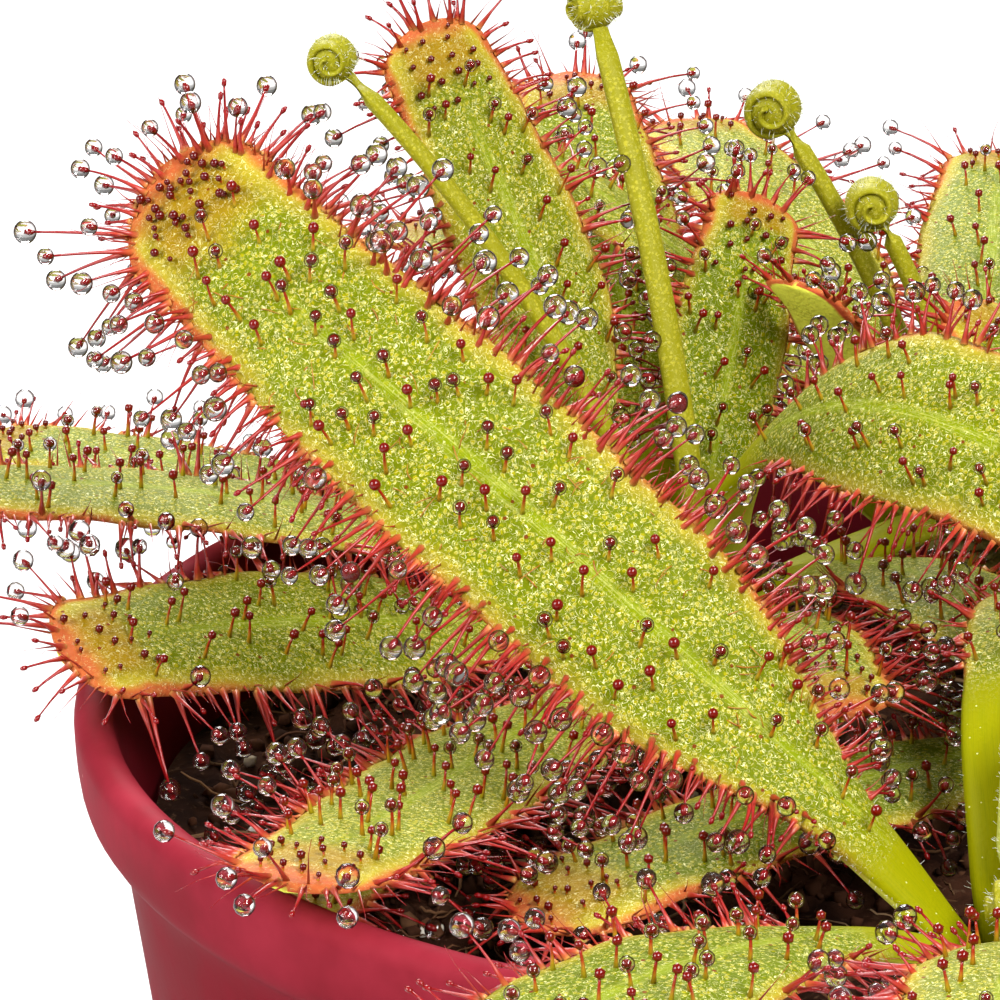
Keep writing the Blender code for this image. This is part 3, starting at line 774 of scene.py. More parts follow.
def spineOf(base, azimuth, rise, tipRise, length, bend=0.0, roll=0.0, steps=400):
    # a curved line in space, with the directions across, out of and along the leaf at each point
    u = np.linspace(0, 1, steps + 1)
    turn = np.radians(azimuth + bend * u * u)
    climb = np.radians(rise + (tipRise - rise) * u)
    along = np.stack([np.cos(climb) * np.cos(turn), np.cos(climb) * np.sin(turn), np.sin(climb)], 1)
    moves = (along[1:] + along[:-1]) * (length / steps / 2)
    points = np.asarray(base) + np.concatenate([np.zeros((1, 3)), np.cumsum(moves, 0)])
    side = np.stack([np.sin(turn), -np.cos(turn), np.zeros(steps + 1)], 1)
    face = np.cross(side, along)
    f = (math.radians(roll) * smoothStep(0.0, 0.4, u))[:, None]
    return points, side * np.cos(f) + face * np.sin(f), face * np.cos(f) - side * np.sin(f), along


def spineAt(spine, t):
    u = np.linspace(0, 1, len(spine[0]))
    return [np.stack([np.interp(t, u, track[:, k]) for k in range(3)], -1) for track in spine]


def leafSpine(plant, row):
    rise, azimuth = math.radians(row["rise"]), math.radians(row["azimuth"])
    reach = 1.9 + 0.35 + 0.5 * 0.62 * 1.1 * abs(math.sin(rise))  # clear of the stem, more so for a steep leaf
    x, y, _ = plants[plant]
    base = (x + reach * math.cos(azimuth), y + reach * math.sin(azimuth), row["height"])
    return spineOf(base, *(row[field] for field in ("azimuth", "rise", "tipRise", "length", "bend", "roll")))


def tipSteps(start, closes, count, endCount):
    # even steps up to where the tip closes, then ever finer ones round it
    return np.concatenate([np.linspace(start, closes, count),
                           closes + (1 - closes) * np.sin(np.linspace(0, math.pi / 2, endCount))[1:]])


def bladeShare(row, t):
    return smoothStep(row["stalk"], row["stalk"] + leafShape["widens"], t)


def halfWidth(row, t):
    stalk, closes = leafShape["stalkHalf"], leafShape["closes"]
    width = stalk + (row["width"] / 2 - stalk) * bladeShare(row, t)
    width = width * (1.0 - 0.16 * smoothStep(0.6, 0.92, t))
    width = width * (0.84 + 0.16 * smoothStep(0.0, 0.12, t))
    closing = np.clip((t - closes) / (1 - closes), 0.0, 1.0)
    return width * np.sqrt(np.maximum(1.0 - 0.998 * closing ** 2, 0.0))


def halfThickness(t):
    stalk, blade = leafShape["stalkThick"], leafShape["bladeThick"]
    thick = stalk + (blade - stalk) * smoothStep(0.1, 0.4, t)
    thick = thick * (0.62 + 0.38 * smoothStep(0.0, 0.12, t))
    return 0.5 * thick * (1 - 0.45 * smoothStep(0.9, 1.0, t))


def ridge(v, half):
    return np.exp(-(v / half) ** 2)


def topHeight(row, t, v):
    # the blade is gently domed, with a shallow channel along its midrib
    s = leafShape
    blade = bladeShare(row, t)
    profile = np.maximum(1.0 - np.abs(v) ** (2.0 + 0.8 * blade), 0.0) ** (0.5 + 0.05 * blade)
    dome = s["dome"] * row["width"] * blade * (1 - v * v) * smoothStep(1.0, 0.93, t)
    rib = s["ribRise"] * ridge(v, s["ribRiseHalf"]) - s["channel"] * ridge(v, s["channelHalf"])
    rib = blade * smoothStep(0.95, 0.8, t) * rib
    return halfThickness(t) * profile * (1 - 0.15 * blade) + dome + rib


def underHeight(row, t, v):
    s = leafShape
    profile = np.maximum(1 - np.abs(v) ** 2.2, 0) ** 0.6
    keel = s["keel"] * bladeShare(row, t) * ridge(v, s["keelHalf"]) * smoothStep(1.0, 0.85, t)
    return -halfThickness(t) * profile - keel


def onLeaf(row, spine, t, v, lift):
    # places on the upper skin, with the leaf's own directions there
    point, side, face, along = spineAt(spine, t)
    spot = point + side * (v * halfWidth(row, t))[:, None] + face * (topHeight(row, t, v) + lift)[:, None]
    return spot, side, face, along


def crinkleHeight(points, size):
    # domed cells with sunk edges, like the skin between the tentacles
    heights = np.empty(len(points))
    for i, p in enumerate(points):
        near, _ = noise.voronoi(Vector(p) / size, distance_metric="DISTANCE", exponent=2.5)
        heights[i] = min(near[1] - near[0], 0.5) * 2.0 + 0.5 * noise.noise(Vector(p) / (size * 0.45))
    return heights - 0.35


def loftFaces(rows, around):
    # rings of points joined by quads, with a face at each end
    i, j = np.meshgrid(np.arange(rows - 1), np.arange(around), indexing="ij")
    at, beside = i * around + j, i * around + (j + 1) % around
    quads = np.stack([at, beside, beside + around, at + around], -1).reshape(-1, 4)
    return [quads, np.arange(around)[None, ::-1], ((rows - 1) * around + np.arange(around))[None]]


def eased(line):
    # crowds the lines towards the margins
    return 0.55 * line + 0.45 * np.sin(line * math.pi / 2)


def makeLeaf(plant, number, row, spine, detail):
    s = leafDetail[detail]
    endRows = s["rows"] // 8
    t = tipSteps(0, leafShape["closes"], s["rows"] - endRows, endRows + 1)
    line = np.linspace(1, -1, s["across"] + 1)
    v = np.concatenate([eased(line), -eased(line[1:-1:s["across"] // s["under"]])])
    isUnder = (np.arange(len(v)) > s["across"])[None, :]
    point, side, face, _ = spineAt(spine, t)
    tt, vv = t[:, None], v[None, :]
    width, blade, run = halfWidth(row, t)[:, None], bladeShare(row, tt), tt * row["length"]
    height = np.where(isUnder, underHeight(row, tt, vv), topHeight(row, tt, vv))
    # the margin waves a little
    wave = np.sin(run * leafShape["ripplesPerMm"] + number + 2.0 * np.sign(vv))
    height = height + leafShape["ripple"] * blade * np.abs(vv) ** 3 * wave
    shape = height.shape
    flat = np.stack([np.broadcast_to(run, shape), vv * width, np.full(shape, 7.3 * number)], -1)
    flat = flat.reshape(-1, 3)
    lift = np.zeros(height.size)
    top = (~np.broadcast_to(isUnder, shape)).reshape(-1)
    lift[top] = crinkleHeight(flat[top], s["cell"]) * s["crinkle"]
    # the crinkle dies away at the midrib, the margin, the tip and the stalk
    fade = blade * smoothStep(1.0, 0.9, np.abs(vv)) * smoothStep(0.995, 0.9, tt)
    fade = fade * (0.4 + 0.6 * smoothStep(0.02, 0.1, np.abs(vv)))
    height = height + lift.reshape(shape) * fade
    points = point[:, None, :] + side[:, None, :] * (vv * width)[..., None]
    points = points + face[:, None, :] * height[..., None]
    # the leaf's material reads how far along and across it is, and a shade of its own
    mapped = np.interp(tt, [0, row["stalk"] + 0.02, 0.6, 1.0], [0, 0.2, 0.6, 1.0])
    place = np.stack([np.broadcast_to(mapped, shape), np.broadcast_to(vv, shape),
                      np.full(shape, rng.uniform(0, 1))], -1).reshape(-1, 3)
    under = np.broadcast_to(isUnder * 1.0, shape).reshape(-1)
    return newPiece(f"{plant}_leaf_{number}", points.reshape(-1, 3), loftFaces(*shape), leafMaterial,
                    attributes={"place": place, "under": under})


# tentacles: rows round the margin, more on the blade, each with a red gland and often a drop

tentacleSizes = {
    "close": {"rowStep": 0.72, "rows": 4, "bladeStep": 1.66, "stations": 7, "sides": 6, "needleStep": 0.28,
              "needleStations": 5, "marginLength": 1.0, "dropShape": 3, "glandShape": 2, "dropShare": 0.37,
              "patchCount": 6},
    "near": {"rowStep": 0.95, "rows": 3, "bladeStep": 1.75, "stations": 4, "sides": 4, "needleStep": 1.2,
             "needleStations": 3, "marginLength": 0.95, "dropShape": 2, "glandShape": 1, "dropShare": 0.33,
             "patchCount": 4},
    "far": {"rowStep": 1.35, "rows": 3, "bladeStep": 2.2, "stations": 4, "sides": 4, "needleStep": 2.4,
            "needleStations": 3, "marginLength": 0.9, "dropShape": 2, "glandShape": 1, "dropShare": 0.27,
            "patchCount": 3},
}
# for each row in from the edge: inset, lowest and highest angle above the blade, shortest and longest
marginRows = [(0.02, -38, 8, 2.4, 4.1), (0.12, -8, 30, 2.4, 4.1),
              (0.30, 18, 52, 1.9, 3.4), (0.55, 36, 70, 1.3, 2.4)]
needleRow = (0.1, -45, 60, 0.7, 2.1)
tentacleShape = {
    "footEdge": 0.18, "footBlade": 0.12, "footOther": 0.07, "shaftEdge": 0.068, "shaftNeedle": 0.036,
    "shaftOther": 0.070, "footShare": 0.24, "droop": -0.07, "sway": 0.12, "needleSway": 2.6, "spread": 0.22,
    "bareLength": (0.9, 2.5), "glandlessShare": 0.55, "bladeLength": (0.80, 1.30), "bladeShake": 0.42,
    "patchFrom": 1.0, "patchTo": 3.9, "patchHalf": 0.54, "patchLength": (0.15, 0.30),
    "bladeDropShare": 0.30, "shortestWet": 1.2,
}
dropSizes = {"margin": (0.36, 0.52), "blade": (0.27, 0.34)}
wetKind, needleKind, bladeKind, patchKind, bareKind = range(5)  # what a tentacle is


def marginPlaces(row, spacing, start):
    # places evenly spaced along the edge, from the stalk round the tip and back
    t = tipSteps(start, leafShape["closes"], 200, 60)
    flat = np.stack([t * row["length"], halfWidth(row, t)], 1)
    flat[-1, 1] = 0.0
    flat = np.concatenate([flat, (flat * (1, -1))[::-1]])
    run = np.concatenate([[0], np.cumsum(np.linalg.norm(np.diff(flat, axis=0), axis=1))])
    count = max(4, int(run[-1] / spacing))
    where = (np.arange(count) + between(0.1, 0.9, count)) / count * run[-1]
    spot, ahead, behind = (np.stack([np.interp(at, run, flat[:, k]) for k in range(2)], 1)
                           for at in (where, where + 0.3, where - 0.3))
    ahead = ahead - behind
    return spot[:, 0] / row["length"], spot[:, 1], unit(np.stack([-ahead[:, 1], ahead[:, 0]], 1))


def bend(start, heading, length, stations, lean):
    s = np.linspace(0, 1, stations) ** 0.85
    path = start[:, None, :] + heading[:, None, :] * (length[:, None] * s)[..., None]
    return path + lean[:, None, :] * (s ** 2)[None, :, None] * length[:, None, None]


def tentacleSet(row, spine, detail):
    # base points, headings, lengths and kinds for one leaf
    s, shape, start = tentacleSizes[detail], tentacleShape, row["stalk"] + 0.05
    spread = shape["spread"]
    found, sets = [], []
    wanted = [(edgeRow, s["rowStep"] * (1.0 + 0.12 * index), s["marginLength"], wetKind)
              for index, edgeRow in enumerate(marginRows[:s["rows"]])]
    wanted.append((needleRow, s["needleStep"], 1.0, needleKind))
    for (inset, low, high, short, long), step, share, kind in wanted:
        t, across, normal = marginPlaces(row, step, start)
        found.append((t, across, normal, inset, between(low, high, len(t)),
                      between(short, long, len(t)) * share, kind))
    for t, across, normal, inset, angle, length, kind in found:
        inward = np.abs(across) - inset * np.abs(normal[:, 1])
        t = np.clip(t - inset * np.maximum(normal[:, 0], 0) / row["length"], 0.0, 0.999)
        width = np.maximum(halfWidth(row, t), 0.02)
        v = np.sign(across) * np.clip(inward / width, 0, 0.985)
        point, side, face, along = spineAt(spine, t)
        base = point + side * (v * width)[:, None] + face * (topHeight(row, t, v) * 0.7)[:, None]
        out = side * normal[:, 1:] + along * (normal[:, :1] + between(-spread, spread, len(t))[:, None])
        rise = np.radians(angle)[:, None]
        # many of the edge's tentacles are short and bear no drop, and some of those no gland
        bare = (rng.random(len(t)) > s["dropShare"]) & (kind == wetKind)
        length = np.where(bare, between(*shape["bareLength"], len(t)), length)
        length = length * (0.55 + 0.45 * smoothStep(start, start + 0.14, t))
        length = length * (1.0 + 0.08 * smoothStep(0.8, 0.97, t)) * (row["width"] / 9.0) ** 0.6
        glandless = bare & (rng.random(len(t)) < shape["glandlessShare"])
        kinds = np.where(glandless, needleKind, np.where(bare, bareKind, kind))
        sets.append((base, unit(unit(out) * np.cos(rise) + face * np.sin(rise)), length, kinds))
    # the blade's own, on a shaken grid
    step, shake = s["bladeStep"], shape["bladeShake"]
    rows = np.arange(start * row["length"], 0.93 * row["length"], step)
    lines = np.arange(-row["width"] / 2 + 0.6, row["width"] / 2 - 0.5, step)
    a, b = np.meshgrid(rows, lines, indexing="ij")
    a, b = ((grid + between(-shake, shake, grid.shape) * step).ravel() for grid in (a, b))
    t = a / row["length"]
    width = np.maximum(halfWidth(row, t), 0.3)
    keep = (np.abs(b) < width - 0.55) & (t < 0.915) & (rng.random(len(t)) > 0.10)
    t, v = t[keep], (b / width)[keep]
    base, side, face, along = onLeaf(row, spine, t, v, -0.05)
    heading = unit(face * 0.7 + side * (0.35 * v + between(-spread, spread, len(t)))[:, None]
                   + along * between(-spread, spread, len(t))[:, None] + np.array((0, 0, 0.9)))
    length = between(*shape["bladeLength"], len(t))
    length = length + 0.75 * np.clip(np.abs(v) - 0.55, 0, 1) * between(0.4, 1.6, len(t))
    sets.append((base, heading, length, np.full(len(t), bladeKind)))
    # a patch of dark, almost stalkless glands at the tip
    count, half = s["patchCount"], shape["patchHalf"]
    a, b = np.meshgrid(np.linspace(shape["patchFrom"], shape["patchTo"], count),
                       np.linspace(-half, half, count), indexing="ij")
    count = a.size
    t = 1.0 - (a.ravel() + between(-0.3, 0.3, count)) / row["length"]
    v = b.ravel() + between(-0.12, 0.12, count)
    base, side, face, along = onLeaf(row, spine, t, v, -0.03)
    heading = unit(face + np.array((0, 0, 0.3)) + between(-0.2, 0.2, (count, 3)))
    sets.append((base, heading, between(*shape["patchLength"], count), np.full(count, patchKind)))
    return [np.concatenate(column) for column in zip(*sets)]


def clearLengths(bases, headings, lengths, blockers):
    # how far each tentacle reaches before it meets another piece
    reach = lengths.copy()
    for i in range(len(bases)):
        start = Vector(bases[i] + headings[i] * 0.35)
        hit = blockers.ray_cast(start, Vector(headings[i]), float(lengths[i]) + 0.2)
        if hit[0] is not None:
            reach[i] = hit[3]
    return reach


def apartFrom(centres, radii, chosen):
    # a drop that would run into an earlier one is left out
    kept = []
    for i in chosen:
        if kept:
            near = np.linalg.norm(centres[kept] - centres[i], axis=1) < (radii[kept] + radii[i]) * 0.98
            if near.any():
                continue
        kept.append(i)
    return np.array(kept, int)


def makeTentacles(row, spine, detail, stalks, drops):
    s, shape = tentacleSizes[detail], tentacleShape
    bases, headings, lengths, kinds = tentacleSet(row, spine, detail)
    reach = clearLengths(bases, headings, lengths, blockers)
    keep = (reach > 0.55 * lengths) & ((kinds > needleKind) | (reach > 0.6))
    bases, headings, kinds, reach = bases[keep], headings[keep], kinds[keep], reach[keep]
    count = len(bases)
    needle, own, patch = kinds == needleKind, kinds == bladeKind, kinds == patchKind
    edge = (kinds == wetKind) | (kinds == bareKind)
    lean = between(-shape["sway"], shape["sway"], (count, 3))
    lean = lean * np.where(needle, shape["needleSway"], 1.0)[:, None]
    lean[:, 2] += np.where(edge, shape["droop"], 0.0)
    paths = bend(bases, headings, reach, s["stations"], lean)
    # stalks taper from a wide foot, and needles run out to a point
    along = np.linspace(0, 1, s["stations"]) ** 0.85
    foot = np.where(edge, shape["footEdge"], np.where(own, shape["footBlade"], shape["footOther"]))[:, None]
    shaft = np.where(edge, shape["shaftEdge"], np.where(needle, shape["shaftNeedle"], shape["shaftOther"]))
    shaft = shaft[:, None] * between(0.8, 1.2, count)[:, None]
    profile = shaft * (1 - 0.25 * along) + (foot - shaft) * np.exp(-(along / shape["footShare"]) ** 1.1)
    profile = np.where(needle[:, None], np.maximum(profile * (1 - 0.75 * along), 0.012), profile)
    high = np.where(edge | needle, between(0.05, 0.45, count), between(0.55, 0.95, count))
    run = np.repeat(np.linspace(0, 0.9, s["stations"])[None] ** 0.85, count, 0)
    thick = ~needle
    stalks.append(tubes(paths[thick], profile[thick], s["sides"], run[thick], high[thick]))
    some = np.linspace(0, s["stations"] - 1, s["needleStations"]).round().astype(int)
    fine = np.ix_(needle, some)
    stalks.append(tubes(paths[fine], profile[fine], 3, run[fine], high[needle]))
    # glands, longer than wide at the edge
    tip = paths[:, -1]
    ahead = unit(tip - paths[:, -2])
    wet = (kinds == wetKind) & (reach > shape["shortestWet"])
    wet = wet | (own & (rng.random(count) < shape["bladeDropShare"]))
    size = np.where(own, np.where(wet, between(0.15, 0.19, count), between(0.20, 0.26, count)),
                    np.where(patch, between(0.12, 0.22, count), 0.13))
    for group, stretch, divisions in ((np.where(edge)[0], 1.75, max(1, s["glandShape"] - 1)),
                                      (np.where(own | patch)[0], 1.08, s["glandShape"])):
        if len(group):
            centre = tip[group] + ahead[group] * (size[group] * 0.6)[:, None]
            uv = np.stack([np.where(patch, 1.0, 0.93)[group], high[group]], 1)
            stalks.append(balls(centre, size[group], ballShape(divisions), uv, ahead[group], stretch))
    # drops, hanging a little taller than wide
    radii = np.where(edge, between(*dropSizes["margin"], count), between(*dropSizes["blade"], count))
    centres = tip + ahead * (radii * np.where(edge, 0.45, 0.25))[:, None]
    chosen = np.where(wet)[0]
    chosen = apartFrom(centres, radii, chosen[np.argsort(-reach[chosen], kind="stable")])
    if len(chosen):
        uv, upright = np.zeros((len(chosen), 2)), np.repeat([[0.0, 0.0, 1.0]], len(chosen), 0)
        drops.append(balls(centres[chosen], radii[chosen], ballShape(s["dropShape"]), uv, upright, 1.04))


# brown threads lying on the close leaf, and white hairs on stalks and young leaves

hairSizes = {
    "stalkCount": {"close": 240, "near": 55, "far": 18}, "stalkLength": (0.15, 0.55), "stalkHalf": 0.016,
    "budCount": 560, "budLength": (0.08, 0.26), "coilCount": 300, "coilLength": (0.25, 0.45),
    "youngHalf": 0.014, "threadCount": 100, "threadLength": (0.3, 0.95), "threadHalf": (0.020, 0.034),
}


def hairsAt(starts, headings, lengths, half, curl, stations):
    count = len(starts)
    paths = bend(starts, headings, lengths, stations, between(-curl, curl, (count, 3)))
    along = np.linspace(0, 1, stations)
    radii = half * between(0.7, 1.3, count)[:, None] * (1 - 0.75 * along)[None]
    return tubes(paths, radii, 3, along, np.full(count, 0.3))


def stalkHairs(row, spine, count):
    t = between(0.015, row["stalk"] + 0.16, count)
    side = rng.choice([-1.0, 1.0], count)
    v = side * between(0.75, 1.0, count)
    point, across, face, along = spineAt(spine, t)
    base = point + across * (v * halfWidth(row, t) * 0.97)[:, None]
    heading = unit(across * side[:, None] + face * between(-0.5, 0.7, count)[:, None]
                   + along * between(-0.3, 0.6, count)[:, None])
    return hairsAt(base, heading, between(*hairSizes["stalkLength"], count), hairSizes["stalkHalf"], 0.25, 4)


def bladeThreads(row, spine):
    s, stations = hairSizes, 5
    count = s["threadCount"]
    t, v = between(0.25, 0.9, count), between(-0.85, 0.85, count)
    base, side, face, along = onLeaf(row, spine, t, v, 0.03)
    turn = between(0, math.tau, count)
    heading = unit(side * np.cos(turn)[:, None] + along * np.sin(turn)[:, None]
                   + face * between(0.05, 0.35, count)[:, None])
    paths = bend(base, heading, between(*s["threadLength"], count), stations, between(-0.6, 0.6, (count, 3)))
    radii = between(*s["threadHalf"], count)[:, None] * np.array([1, 1, 0.9, 0.7, 0.3])
    return tubes(paths, radii, 4, np.full(stations, 0.35), between(0.55, 0.95, count))


# young leaves: a rolled-up tip on a thin stalk, and one closed bud. Each row: plant, shape, azimuth,
# rise, rise at the tip, length, half width, radius of the ball, and step from the stem's middle

youngLeaves = {
    "front_coil_1": ("front", "coil", 260, 84, 84, 0.6, 0.8, 1.6, (-0.4, -1.3)),
    "front_bud": ("front", "bud", 80, 82, 66, 10.0, 1.9, 0.0, (0.5, 0.9)),
    "left_coil_1": ("left", "coil", 172, 68, 46, 27.0, 0.7, 1.4, (-1.0, -0.1)),
    "left_coil_2": ("left", "coil", 116, 74, 56, 25.0, 0.7, 1.4, (0.8, 0.8)),
    "right_coil_1": ("right", "coil", 190, 82, 66, 20.0, 0.8, 1.5, (-0.8, 0.3)),
    "right_coil_2": ("right", "coil", 40, 80, 60, 17.0, 0.8, 1.5, (0.8, 0.0)),
    "back_coil_1": ("back", "coil", 168, 72, 56, 19.0, 0.8, 1.7, (-0.8, 0.5)),
    "back_coil_2": ("back", "coil", 178, 78, 62, 14.0, 0.8, 1.6, (0.4, -0.8)),
}
youngShape = {"flatness": 0.66, "budSides": 40, "seam": 0.28, "ridge": 0.05, "ridges": 9,
              "coilSteps": 72, "coilTurns": 1.55, "coilSides": 16, "stalkFlatness": 0.7, "core": 0.80}


def ovalLoft(centres, sides, faces, widths, depths, around):
    angle = np.arange(around) * math.tau / around
    points = centres[:, None, :] + sides[:, None, :] * (widths[:, None] * np.cos(angle))[..., None] \
        + faces[:, None, :] * (depths[:, None] * np.sin(angle))[..., None]
    return points.reshape(-1, 3), loftFaces(len(centres), around)


def budHalf(half, t):
    return half * (0.45 + 0.55 * smoothStep(0, 0.35, t)) * np.sqrt(1 - 0.985 * smoothStep(0.6, 1.0, t) ** 2)


def makeBud(spine, half):
    s, h = youngShape, hairSizes
    t = tipSteps(0, 0.9, 60, 14)
    point, side, face, _ = spineAt(spine, t)
    width, around = budHalf(half, t), s["budSides"]
    points, sets = ovalLoft(point, side, face, width, s["flatness"] * width, around)
    # a seam where the folded blade's margins meet, and faint ridges all round
    ring = np.arange(around)
    seam = np.exp(-((ring - around / 4) / 1.3) ** 2)[None, :] * smoothStep(0.05, 0.3, t)[:, None]
    ridges = np.cos(ring * math.tau / around * s["ridges"])[None, :] * smoothStep(0.1, 0.3, t)[:, None]
    push = s["ridge"] * ridges - s["seam"] * seam
    points = (points.reshape(len(t), around, 3) + face[:, None, :] * push[..., None]).reshape(-1, 3)
    count = h["budCount"]
    t, a = between(0.03, 1.0, count), between(0, math.tau, count)
    point, side, face, along = spineAt(spine, t)
    width = budHalf(half, t)
    out = side * np.cos(a)[:, None] + face * np.sin(a)[:, None]
    start = point + side * (width * np.cos(a))[:, None] + face * (s["flatness"] * width * np.sin(a))[:, None]
    hairs = hairsAt(start, unit(out + along * 0.5), between(*h["budLength"], count), h["youngHalf"], 0.3, 3)
    return points, sets, hairs


def makeCoil(spine, half, ball):
    # the stalk, then its blade rolled up in a spiral that fills a ball
    s, h = youngShape, hairSizes
    t, share = np.linspace(0, 1, 40), np.linspace(0, 1, s["coilSteps"])
    point, side, face, along = spineAt(spine, t)
    endSide, endFace, endAlong = side[-1], face[-1], along[-1]
    taper = (half * (1 - 0.2 * t))[:-2]
    centre = point[-1] + endAlong * ball * 0.9
    turns = np.linspace(-0.25, -0.25 + s["coilTurns"], s["coilSteps"]) * math.tau
    out = ball * (0.80 - 0.62 * share)
    spiral = centre - endFace * (np.cos(turns) * out)[:, None] + endAlong * (np.sin(turns) * out)[:, None]
    width = 0.93 * np.sqrt(np.maximum(ball ** 2 - (out + 0.1 * ball) ** 2, 0.0)) + 0.10 * ball
    width *= 0.55 + 0.45 * smoothStep(0.0, 0.12, share)
    depth = 0.19 * ball * (1 - 0.25 * share)
    blendIn = smoothStep(0.0, 0.16, share)[:, None]
    rolledFaces = unit(unit(spiral - centre) * blendIn - endFace * (1 - blendIn))
    points, sets = ovalLoft(np.concatenate([point[:-2], spiral]),
                            np.concatenate([side[:-2], np.repeat(side[-1:], s["coilSteps"], 0)]),
                            np.concatenate([face[:-2], rolledFaces]), np.concatenate([taper, width]),
                            np.concatenate([s["stalkFlatness"] * taper, depth]), s["coilSides"])
    count = h["coilCount"]
    around, up = between(0, math.tau, count), between(-0.85, 1.0, count)
    level = np.sqrt(1 - up ** 2)
    way = (endSide * (level * np.cos(around))[:, None] + endFace * (level * np.sin(around))[:, None]
           + endAlong * up[:, None])
    radius = ball * s["core"]
    hairs = hairsAt(centre + way * radius, unit(way + between(-0.3, 0.3, (count, 3))),
                    between(*h["coilLength"], count), h["youngHalf"], 0.35, 3)
    core = balls(centre[None], np.array([radius]), ballShape(3), np.zeros((1, 2)))
    return np.concatenate([points, core[0]]), sets + [core[1][0] + len(points)], hairs


def makeYoungLeaf(name, hairs):
    plant, shape, azimuth, rise, tipRise, length, half, ball, step = youngLeaves[name]
    x, y, top = plants[plant]
    tilt = math.cos(math.radians(rise)) * half
    spine = spineOf((x + step[0], y + step[1], top + 0.3 + 0.7 * tilt), azimuth, rise, tipRise, length)
    points, sets, ownHairs = makeBud(spine, half) if shape == "bud" else makeCoil(spine, half, ball)
    hairs.append(ownHairs)
    leaf = newPiece(name, points, sets, youngMaterials[shape])
    selectOnly(leaf)
    bpy.ops.object.mode_set(mode="EDIT")
    faceOut()
    return leaf


# build everything

print("loading the frame")
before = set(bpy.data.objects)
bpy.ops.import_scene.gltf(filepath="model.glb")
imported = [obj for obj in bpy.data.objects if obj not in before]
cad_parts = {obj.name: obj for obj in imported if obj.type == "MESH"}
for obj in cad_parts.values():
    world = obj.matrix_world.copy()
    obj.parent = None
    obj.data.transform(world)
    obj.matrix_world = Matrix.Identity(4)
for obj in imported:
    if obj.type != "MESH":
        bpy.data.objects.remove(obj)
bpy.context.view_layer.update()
print("materials")
leafMaterial, tentacleMaterial, dropMaterial = makeLeafMaterial(), makeTentacleMaterial(), makeDropMaterial()
youngMaterials = {kind: makeYoungMaterial(kind) for kind in youngColours}
stemMaterial, peatMaterial = (makeEarthMaterial(name) for name in earthLooks)
hairMaterial, gritMaterial = (makeRampMaterial(name) for name in rampLooks)
potMaterial = makePotMaterial()


def settle(obj, slot, *nodes):
    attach(obj, "root")
    if nodes:
        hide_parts(*nodes)


def blockerTree():
    points, faces = [], []
    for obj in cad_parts.values():
        start = len(points)
        points += [v.co / mm for v in obj.data.vertices]
        faces += [tuple(start + i for i in f.vertices) for f in obj.data.polygons]
    return BVHTree.FromPolygons(points, faces)


def detailOf(plant, number):
    # how fine a leaf is made: the long leaf, those the camera sees well, and the rest
    if (plant, number) == ("front", 1):
        return "close"
    return "near" if plant in ("front", "left") or (plant, number) == ("right", 1) else "far"


def makePlant(plant):
    settle(makeStem(plant), "stem", plant + "_plant_stem")
    longLeaf, others, hairs = {"tentacles": [], "drops": []}, {"tentacles": [], "drops": []}, []
    for number, fields in enumerate(leafTable[plant], 1):
        row = dict(zip(leafFields, fields))
        spine, detail = leafSpine(plant, row), detailOf(plant, number)
        grown = longLeaf if detail == "close" else others
        settle(makeLeaf(plant, number, row, spine, detail), "leaf", f"{plant}_plant_leaf_{number}")
        makeTentacles(row, spine, detail, grown["tentacles"], grown["drops"])
        if grown is longLeaf:
            grown["tentacles"].append(bladeThreads(row, spine))
        hairs.append(stalkHairs(row, spine, hairSizes["stalkCount"][detail]))
    for name in youngLeaves:
        if name.startswith(plant):
            node = plant + "_plant_" + ("leaf_bud" if "bud" in name else "curled_leaf_" + name[-1])
            settle(makeYoungLeaf(name, hairs), "young_leaf", node)
    for title, grown in ((plant + "_long_leaf", longLeaf), (plant, others)):
        if grown["tentacles"]:
            settle(joined(title + "_tentacles", grown["tentacles"], tentacleMaterial), "tentacle")
            settle(joined(title + "_drops", grown["drops"], dropMaterial), "mucilage")
    settle(joined(plant + "_hairs", hairs, hairMaterial), "white_hair")


blockers = blockerTree()
print("pot and soil")
settle(makePot(), "pot_plastic", "pot")
settle(makeSoil(), "peat_soil", "soil")
settle(makeCrumbs(), "peat_soil")
for plant in plants:
    print(plant, "plant")
    makePlant(plant)


# studio: pale floor, soft lights and the camera

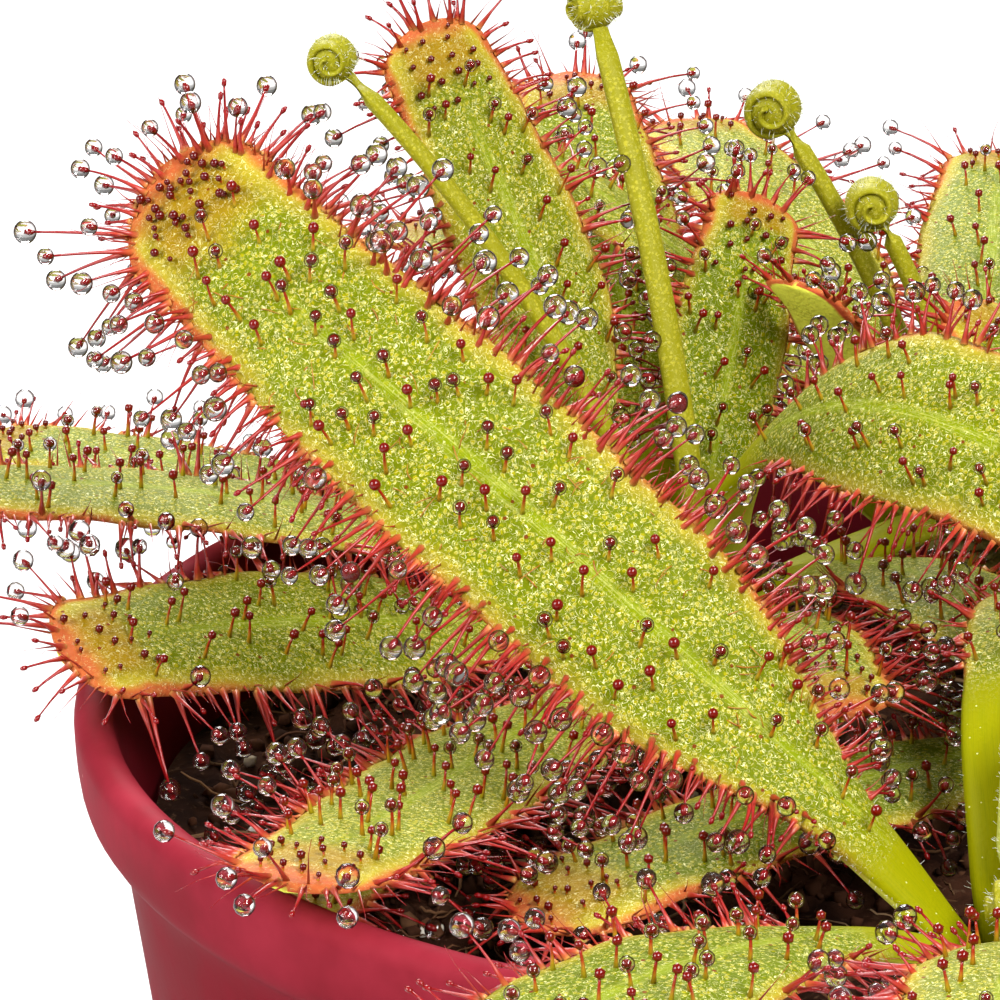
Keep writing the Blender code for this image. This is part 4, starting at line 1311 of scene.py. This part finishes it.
studio = {
    "cameraPlace": (-15.92, -214.2, 148.48), "cameraDown": 20.0, "lens": 184.92,
    "lights": [("key", (190, -200, 420), 200, 2.5), ("fill", (-330, -180, 260), 220, 2.1),
               ("back", (-60, 330, 300), 220, 2.6), ("glint", (150, -330, 330), 90, 1.2)],
    "lightsAim": (0, 0, 60), "world": 0.22, "floorWhite": 0.42, "floorGlow": 0.35,
    "bounces": {"max": 6, "diffuse": 2, "glossy": 2, "transmission": 5},
}


def intoScene(obj, place):
    obj.location = Vector(place) * mm
    bpy.context.scene.collection.objects.link(obj)
    return obj


def makeFloor():
    bpy.ops.object.select_all(action="DESELECT")
    bpy.ops.mesh.primitive_plane_add(size=6.0, location=(0, 0, 0))
    floor = bpy.context.object
    floor.name = "floor"
    material, _, _ = newMaterial("studio_floor", Roughness=0.7, Base_Color=(*[studio["floorWhite"]] * 3, 1.0),
                                 Emission_Color=(1.0, 1.0, 1.0, 1.0), Emission_Strength=studio["floorGlow"])
    floor.data.materials.append(material)


def makeLights():
    for name, place, size, power in studio["lights"]:
        light = bpy.data.lights.new(name, "AREA")
        light.size, light.energy = size * mm, power
        lamp = intoScene(bpy.data.objects.new(name, light), place)
        aim = Vector(studio["lightsAim"]) - Vector(place)
        lamp.rotation_euler = aim.to_track_quat("-Z", "Y").to_euler()
    world = bpy.data.worlds.new("studio")
    world.use_nodes = True
    tree = world.node_tree
    wire(tree, tree.nodes["Background"], Color=(1.0, 1.0, 1.0, 1.0), Strength=studio["world"])
    bpy.context.scene.world = world


def makeCamera():
    lens = bpy.data.cameras.new("camera")
    lens.lens, lens.sensor_width, lens.clip_start = studio["lens"], 36.0, 0.005
    camera = intoScene(bpy.data.objects.new("camera", lens), studio["cameraPlace"])
    camera.rotation_euler = (math.radians(90 - studio["cameraDown"]), 0, 0)
    bpy.context.scene.camera = camera
    bpy.context.scene.view_settings.view_transform = "Standard"
    cycles = bpy.context.scene.cycles
    cycles.caustics_reflective = cycles.caustics_refractive = False
    for kind, most in studio["bounces"].items():
        setattr(cycles, kind + "_bounces", most)


print("studio")
makeFloor()
makeLights()
makeCamera()
